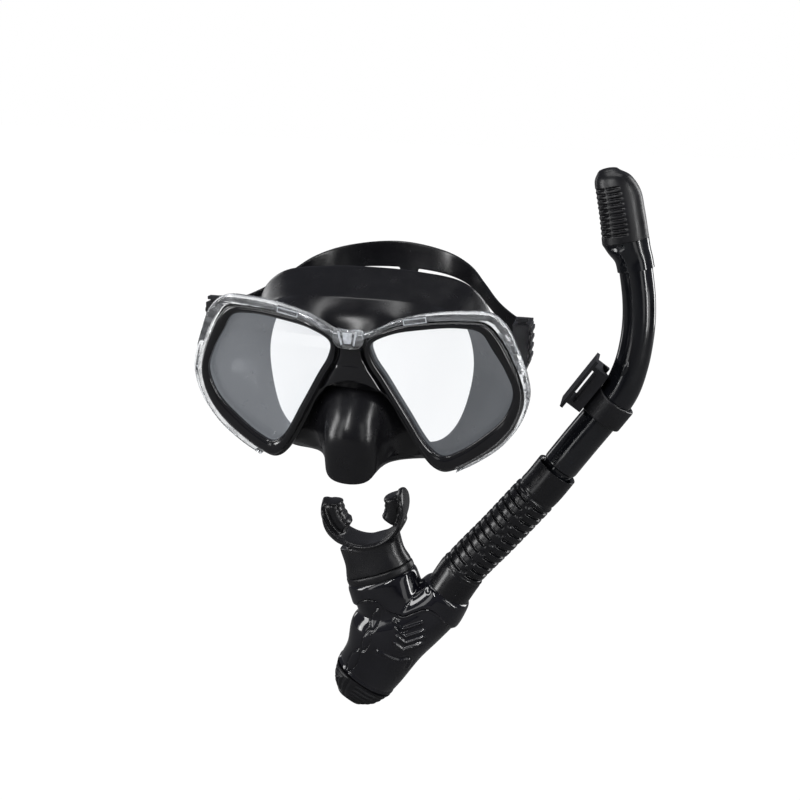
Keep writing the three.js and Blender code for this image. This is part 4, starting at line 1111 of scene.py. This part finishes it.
def from_axis(part, foot, axis):
    """Moves a part built round +Z to a foot point, standing along an axis of the snorkel plane."""
    up = Vector(axis)
    across = Vector((up.z, 0, -up.x))
    turn = np.array([across, (0, 1, 0), up]).T
    return part[0] @ turn.T + np.array(foot), part[1]


def make_keeper():
    """Sleeve round the barrel, faired into a fin that carries the clip's rail."""
    half, chamfer = SLEEVE["half"], SLEEVE["chamfer"]
    u, v = np.cos(turns(96)), np.sin(turns(96))
    fair = np.maximum(0, -u) ** 3
    rise = SLEEVE["fin_up"] * fair
    rings = []
    for height, cut in [(-half, chamfer), (chamfer - half, 0), (half - chamfer, 0), (half, chamfer)]:
        r = SLEEVE["outer"] - cut
        out = r * u - SLEEVE["fin_out"] * fair
        rings.append(np.stack([out, r * v, height + rise * (height > 0)], axis=1))
    bore = SLEEVE["bore"]
    rings += [np.stack([bore * u, bore * v, np.full_like(u, height)], axis=1) for height in (half, -half)]
    part = merged(loft(rings, loop=True), *[box_part(*corners) for corners in KEEPER_BOXES])
    part = from_axis(part, KEEPER, BARREL_AXIS)
    rounded(piece("keeper_shell", part, "keeper", "moulded_black", replaces=["keeper_sleeve"]), 0.35)


def dry_part(rows, levels, count, power, carve):
    """Rings along the dry top's axis, each cut inwards by what carve gives for its height."""
    axis = flat_axis(DRY_AXIS)
    across = np.array([axis[1], -axis[0]])
    foot = np.array([DRY_FOOT.x, DRY_FOOT.z])
    turn = np.linspace(0, 360, count, endpoint=False)
    rings = []
    for s, w, a, b in spline(rows, levels):
        x, z = foot + axis * s + across * w
        ring = plane_ring(x, z, axis, a, b, count, power)
        rings.append(ring - unit(ring - (x, SNORKEL_Y, z)) * carve(s, turn)[:, None])
    return rings


def slot_carving(s, turn):
    """Rows of breathing slots, in columns, up the shroud."""
    share = (s - SLOTS["from"]) / (SLOTS["to"] - SLOTS["from"])
    if not 0 < share < 1:
        return np.zeros_like(turn)
    cut = bell(share * SLOTS["rows"] % 1 - 0.5, 0.24, 4)
    depth = sum(bell(turn - middle, 15, 6) for middle in SLOTS["columns"])
    return SLOTS["deep"] * cut * np.minimum(depth, 1)


def scoop_carving(s, turn):
    """A shallow scoop in the front of the collar."""
    return SCOOP["deep"] * bell(s - SCOOP["height"], 2.2) * bell(turn - SCOOP["middle"], 26, 4)


def make_dry_top():
    """Scooped collar on the end of the barrel, under a slotted and domed shroud."""
    base = dry_part(BASE_RINGS, 60, 144, 2.15, scoop_carving)
    piece("dry_top_collar", loft(base), "barrel", "snorkel_black", replaces=["dry_top_base"])
    shroud = dry_part(SHROUD_RINGS, 230, 220, 2.2, slot_carving)
    tip = shroud[-1]
    middle = tip.mean(axis=0)
    crown = np.array([DRY_AXIS.x, 0, DRY_AXIS.z])
    for share in (0.8, 0.55, 0.25):
        rise = 1.9 * math.sqrt(1 - share ** 2)
        shroud.append(middle + (tip - middle) * share + crown * rise)
    piece("dry_top_cover", loft(shroud), "barrel", "moulded_black", replaces=["dry_top_shroud"])


# ---- carried-over nodes

NODE_LOOKS = {
    "moulded_black": [
        "buckle_bracket_right", "buckle_bracket_left", "buckle_body_right", "buckle_body_left",
        "strap_roller_right", "strap_roller_left", "release_button_right", "release_button_left",
        "purge_seat", "strap_clip", "float",
    ],
    "silicone": ["purge_membrane", "valve_flap"],
    "pin_steel": ["buckle_pin_right", "buckle_pin_left", "valve_pin"],
}


def dress_nodes():
    """Gives the CAD nodes that are seen as they are their materials and softened edges."""
    for look, names in NODE_LOOKS.items():
        for name in names:
            node = frame["nodes"][name]
            node.data.materials.clear()
            node.data.materials.append(LOOKS[look])
            rounded(node, 0.3)


# ---- stage

# Angles in degrees, places in metres; right and down are from the lens datum, lens is the focal length.
CAMERA = {
    "azimuth": 11, "elevation": 15, "roll": 2, "lens": 55.71,
    "distance": 0.65, "right": 0.02625, "down": 0.00893,
}
# Place, width and height in metres, and power in watts; every softbox faces LIT_POINT.
SOFTBOXES = {
    "left_panel": ((-1.1, -0.55, 0.25), 0.3, 1.1, 8),
    "front_left": ((-0.85, -1.2, 0.35), 0.3, 1.6, 3.2),
    "front_right": ((0.95, -1.1, 0.25), 0.35, 1.4, 1.6),
    "key_strip": ((-0.35, -1.2, 0.9), 0.08, 0.9, 7),
    "right_strip": ((1.15, -0.5, 0.3), 0.1, 1.3, 7),
    "top_panel": ((0, 0.15, 1.3), 0.9, 0.3, 3),
    "back_left": ((-0.9, 0.9, 0.1), 0.2, 0.9, 1.2),
    "back_right": ((1.0, 1.0, 0.3), 0.3, 1.2, 7),
    "paper_front": ((0, -1.1, -0.75), 1.3, 0.35, 1.6),
    "paper_left": ((-1.3, -0.5, -0.35), 0.3, 0.8, 2.2),
    "paper_right": ((1.3, -0.3, -0.35), 0.3, 0.8, 1.6),
}
LIT_POINT = Vector((0.02, 0.05, -0.06))
ROOM = (0.12, 0.123, 0.14, 1)
FLOOR = {"half": 6.0, "below": 0.002, "glow": 1.04, "share": 0.985}


def make_camera():
    azimuth, elevation, roll = [math.radians(CAMERA[key]) for key in ("azimuth", "elevation", "roll")]
    level = Vector((math.cos(azimuth), math.sin(azimuth), 0))
    ahead = Vector((math.sin(azimuth), -math.cos(azimuth), 0))
    back = ahead * math.cos(elevation) + Vector((0, 0, math.sin(elevation)))
    upright = back.cross(level)
    right = level * math.cos(roll) + upright * math.sin(roll)
    up = upright * math.cos(roll) - level * math.sin(roll)
    data = bpy.data.cameras.new("camera")
    data.lens = CAMERA["lens"]
    data.clip_start = 0.01
    camera = in_scene("camera", data)
    place = DATUM + right * CAMERA["right"] - up * CAMERA["down"] + back * CAMERA["distance"]
    camera.matrix_world = Matrix.Translation(place) @ Matrix((right, up, back)).transposed().to_4x4()
    bpy.context.scene.camera = camera


def softbox(name, place, width, height, power):
    data = bpy.data.lights.new(name, "AREA")
    data.shape = "RECTANGLE"
    data.size, data.size_y = width, height
    data.energy = power
    light = in_scene(name, data)
    light.location = place
    light.rotation_euler = (LIT_POINT - Vector(place)).to_track_quat("-Z", "Y").to_euler()
    light.visible_camera = False


def make_studio():
    """Panels and strips round the object in a dim room that looks white to the camera.

    The low paper panels stand for light thrown back by the table.
    """
    for name, values in SOFTBOXES.items():
        softbox(name, *values)
    world = bpy.data.worlds.new("studio")
    sky = Wiring(world, "ShaderNodeOutputWorld")
    room = sky.add("ShaderNodeBackground", Color=ROOM)
    paper = sky.add("ShaderNodeBackground", Color=WHITE)
    sky.put(sky.blended(sky.seen_directly(), room, paper).outputs["Shader"], sky.surface)
    bpy.context.scene.world = world
    bpy.context.scene.view_settings.view_transform = "Standard"


def make_floor():
    """Plain white paper under the lowest point; it reflects little, so the black parts stay black."""
    half, ground = FLOOR["half"], cad_box[0].z - FLOOR["below"]
    corners = [(-half, -half, ground), (half, -half, ground), (half, half, ground), (-half, half, ground)]
    mesh = bpy.data.meshes.new("floor")
    mesh.from_pydata(corners, [], [(0, 1, 2, 3)])
    look = Look("floor_paper")
    fibres = look.mixed(look.noise(400, 4), (0.2, 0.2, 0.2), (0.24, 0.24, 0.24))
    paper = look.add("ShaderNodeBsdfDiffuse", Color=fibres)
    glow = look.add("ShaderNodeEmission", Color=WHITE, Strength=FLOOR["glow"])
    share = look.maths("MULTIPLY", look.seen_directly(), FLOOR["share"])
    mesh.materials.append(look.finished(look.blended(share, paper, glow)))
    in_scene("floor", mesh)


# ---- everything

make_frame()
make_trim()
make_cover()
make_skirt()
make_strap()
for side in ("right", "left"):
    make_lens(side)
    make_bezel(side)
    make_latch(side)
    make_buckle_ribs(side)
make_barrel()
make_hose()
make_chamber()
make_grille()
make_clamp()
make_mouthpiece()
make_keeper()
make_dry_top()
dress_nodes()
make_camera()
make_studio()
make_floor()
